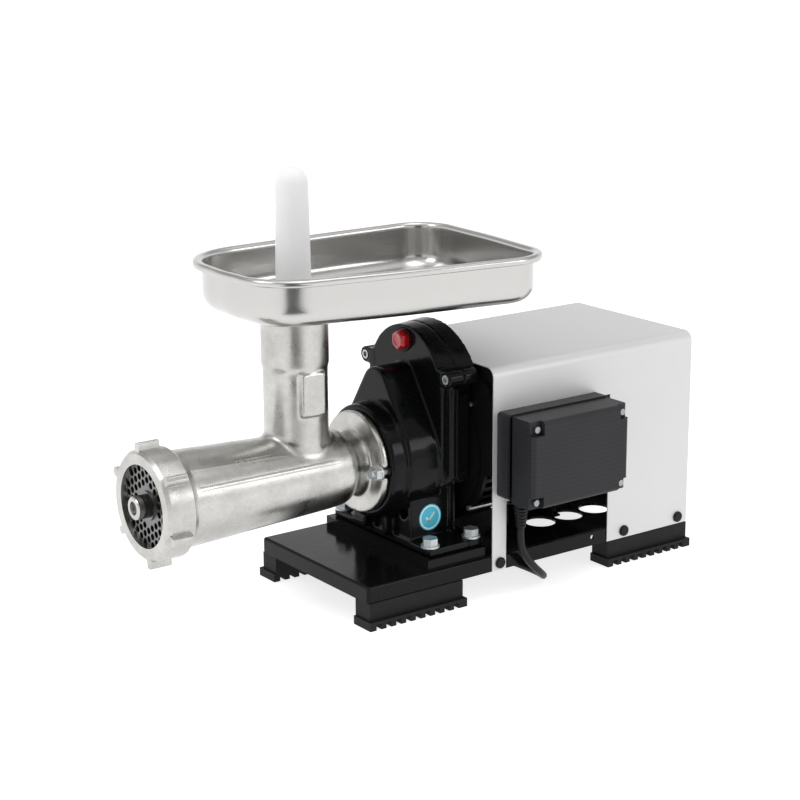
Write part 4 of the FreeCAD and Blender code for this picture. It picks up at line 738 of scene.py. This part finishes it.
def make_gland():
    """Hexagon nut of the gland with a ribbed, tapering sleeve for the lead."""
    profile = [(65.2, 3.6), (65, 4.3)]
    for rib in range(6):
        low = 66.2 + rib * 3.2
        wide = 4.5 + 2.1 * rib / 5
        profile += [(low, wide), (low + 0.5, wide + 0.35), (low + 1.6, wide + 0.4),
                    (low + 2.1, wide), (low + 2.4, wide - 0.5)]
    profile += [(87, 6.6), (87.4, 6.9)]
    sleeve = lathe("sleeve", profile, "Z", (-27, -96, 0), 40)
    rings = []
    for height, reach in ((87.2, 7.4), (87.8, 8.2), (95.2, 8.2), (96.2, 7.6)):
        ring = []
        for step in range(48):
            angle = 2 * math.pi * step / 48
            corner = (angle % (math.pi / 3)) - math.pi / 6
            flat = reach * math.cos(math.pi / 6) / math.cos(corner)
            radius = min(flat, reach * 0.955)
            ring.append(Vector((-27 + radius * math.cos(angle), -96 + radius * math.sin(angle),
                                height)) * MM)
        rings.append(ring)
    nut = grid_mesh("nut", rings, caps=(True, True))
    gland = merged("lead_gland", [sleeve, nut])
    for face in gland.data.polygons:
        face.use_smooth = len(face.vertices) == 4
    fitted(gland, "frame", "black_plastic", "cable_gland")


def make_plug():
    """Round two-pin plug with a ribbed neck."""
    profile = [(104.6, 3.6), (104.4, 4.6)]
    for rib in range(5):
        start = 105.5 + rib * 3.7
        wide = 4.8 + 2.9 * rib / 4
        profile += [(start, wide), (start + 0.6, wide + 0.4), (start + 1.9, wide + 0.45),
                    (start + 2.5, wide), (start + 2.9, wide - 0.5)]
    profile += [(124.6, 8.2), (126.2, 11.5), (127.4, 15.2), (129.2, 17.0), (132, 17.5),
                (144, 17.5), (148, 17.2), (149.6, 16.2), (150, 14.8), (150, 0.4)]
    plug = lathe("mains_plug", profile, "X", (0, 193, 17.5), 56)
    pins = []
    for side in (-1, 1):
        pin = lathe(f"plug_pin_{side}", [(148.5, 0.3), (148.5, 2.4), (167.6, 2.4),
                                         (168.6, 1.9), (169, 1.1), (169, 0.2)],
                    "X", (0, 193 + side * 9.5, 17.5), 24)
        pins.append(pin)
    pins = merged("plug_pins", pins)
    for face in pins.data.polygons:
        face.use_smooth = True
    dress(pins, "zinc_steel")
    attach(pins, "frame")
    fitted(plug, "frame", "black_plastic", "power_plug")
    pins.parent = plug.parent
    return plug


def make_tie():
    """Wire tie wrapped round the windings."""
    profile = [(26.9, 0.6), (26.7, 3), (26.9, 11), (28.4, 14.2), (31.4, 14.7), (44.8, 14.5),
               (48.6, 13.2), (50.1, 10.2), (50.2, 3), (50.0, 0.6)]
    rings = []
    for reach, height in profile:
        ring = []
        for across, out in ((-2.4, 0.0), (-2.2, 0.7), (0, 0.95), (2.2, 0.7), (2.4, 0.0),
                            (0, -0.1)):
            middle = Vector((38.5, 6.9))
            away = (Vector((reach, height)) - middle).normalized() * out
            ring.append(Vector((COIL_MIDDLE[0] + reach + away.x, COIL_MIDDLE[1] + across,
                                height + away.y)) * MM)
        rings.append(ring)
    tie = grid_mesh("coil_tie", rings, caps=(True, True))
    return fitted(tie, "frame", "black_plastic", "cord_tie")


make_gland()
make_cord()


# ------------------------------------------------------------- stage and camera
def area_light(name, at, target, size, power):
    """Square lamp that faces a point."""
    data = bpy.data.lights.new(name, "AREA")
    data.energy = power
    data.shape = "RECTANGLE"
    data.size = data.size_y = size
    light = bpy.data.objects.new(name, data)
    bpy.context.collection.objects.link(light)
    light.location = at
    heading = Vector(target) - Vector(at)
    light.rotation_euler = heading.to_track_quat("-Z", "Y").to_euler()


def set_world():
    """White room with a darker band above the horizon."""
    world = bpy.data.worlds.new("studio")
    bpy.context.scene.world = world
    world.use_nodes = True
    nodes, links = world.node_tree.nodes, world.node_tree.links
    shade = nodes["Background"]
    place = nodes.new("ShaderNodeTexCoord").outputs["Generated"]
    split = nodes.new("ShaderNodeSeparateXYZ")
    links.new(place, split.inputs["Vector"])
    ramp = nodes.new("ShaderNodeValToRGB")
    links.new(split.outputs["Z"], ramp.inputs["Fac"])
    stops = ((0.0, 1.0), (0.30, 1.0), (0.40, 0.55), (0.47, 0.44), (0.60, 0.44), (0.70, 0.74),
             (0.80, 0.95), (1.0, 0.95))
    elements = ramp.color_ramp.elements
    elements[0].position, elements[1].position = stops[0][0], stops[-1][0]
    for position, _ in stops[1:-1]:
        elements.new(position)
    for element, (position, value) in zip(elements, stops):
        element.color = (value, value, value, 1)
    links.new(ramp.outputs["Color"], shade.inputs["Color"])
    shade.inputs["Strength"].default_value = 1.08


def card(name, at, turn, wide, tall, tone):
    """A matt board that shows only in the bright metal: no camera sees it."""
    bpy.ops.mesh.primitive_plane_add(size=1, location=at, rotation=turn)
    board = bpy.context.object
    board.name = name
    board.scale = (wide, tall, 1)
    board.visible_camera = False
    t = Tree(name + "_paint", Roughness=0.9, Base_Color=(tone, tone, tone),
             Specular_IOR_Level=0.0)
    board.data.materials.append(t.material)


def set_stage():
    """White floor, the room, two dark boards and three lamps."""
    scene = bpy.context.scene
    scene.view_settings.view_transform = "Standard"
    scene.view_settings.look = "None"
    bpy.ops.mesh.primitive_plane_add(size=60, location=(0, 0, 0))
    floor = bpy.context.object
    floor.name = "floor"
    t = Tree("floor_white", Roughness=0.6, Base_Color=(0.50, 0.50, 0.50),
             Specular_IOR_Level=0.1, Emission_Color=(1.0, 1.0, 1.0), Emission_Strength=0.78)
    floor.data.materials.append(t.material)
    set_world()
    spin = math.atan2(-0.566, 0.782)
    card("dark_floor_card", (-0.82, -1.13, 0.002), (0, 0, spin), 0.72, 1.25, 0.03)
    card("dark_wall_card", (-1.42, -1.95, 0.6), (math.pi / 2, 0, spin), 1.1, 1.3, 0.02)
    area_light("key", (-1.9, 0.1, 1.9), (-0.05, 0, 0.15), 1.0, 14)
    area_light("fill", (1.3, -2.2, 1.2), (0.0, 0, 0.15), 0.8, 7)
    area_light("top", (0.1, -0.5, 2.6), (0.0, 0, 0.1), 1.6, 14)


def set_camera():
    """Camera at the front left of the machine, a little above it."""
    data = bpy.data.cameras.new("camera")
    camera = bpy.data.objects.new("camera", data)
    bpy.context.collection.objects.link(camera)
    data.sensor_width = 36
    data.lens = 88.29
    right = Vector((0.80912, -0.58762, -0.00527)).normalized()
    ahead = Vector((0.56647, 0.78233, -0.25898)).normalized()
    up = right.cross(ahead).normalized()
    turn = Matrix((right, up, -ahead)).transposed()
    camera.matrix_world = Matrix.Translation((-1.12283, -1.42090, 0.64712)) @ turn.to_4x4()
    data.clip_start, data.clip_end = 0.05, 40
    bpy.context.scene.camera = camera


set_stage()
set_camera()
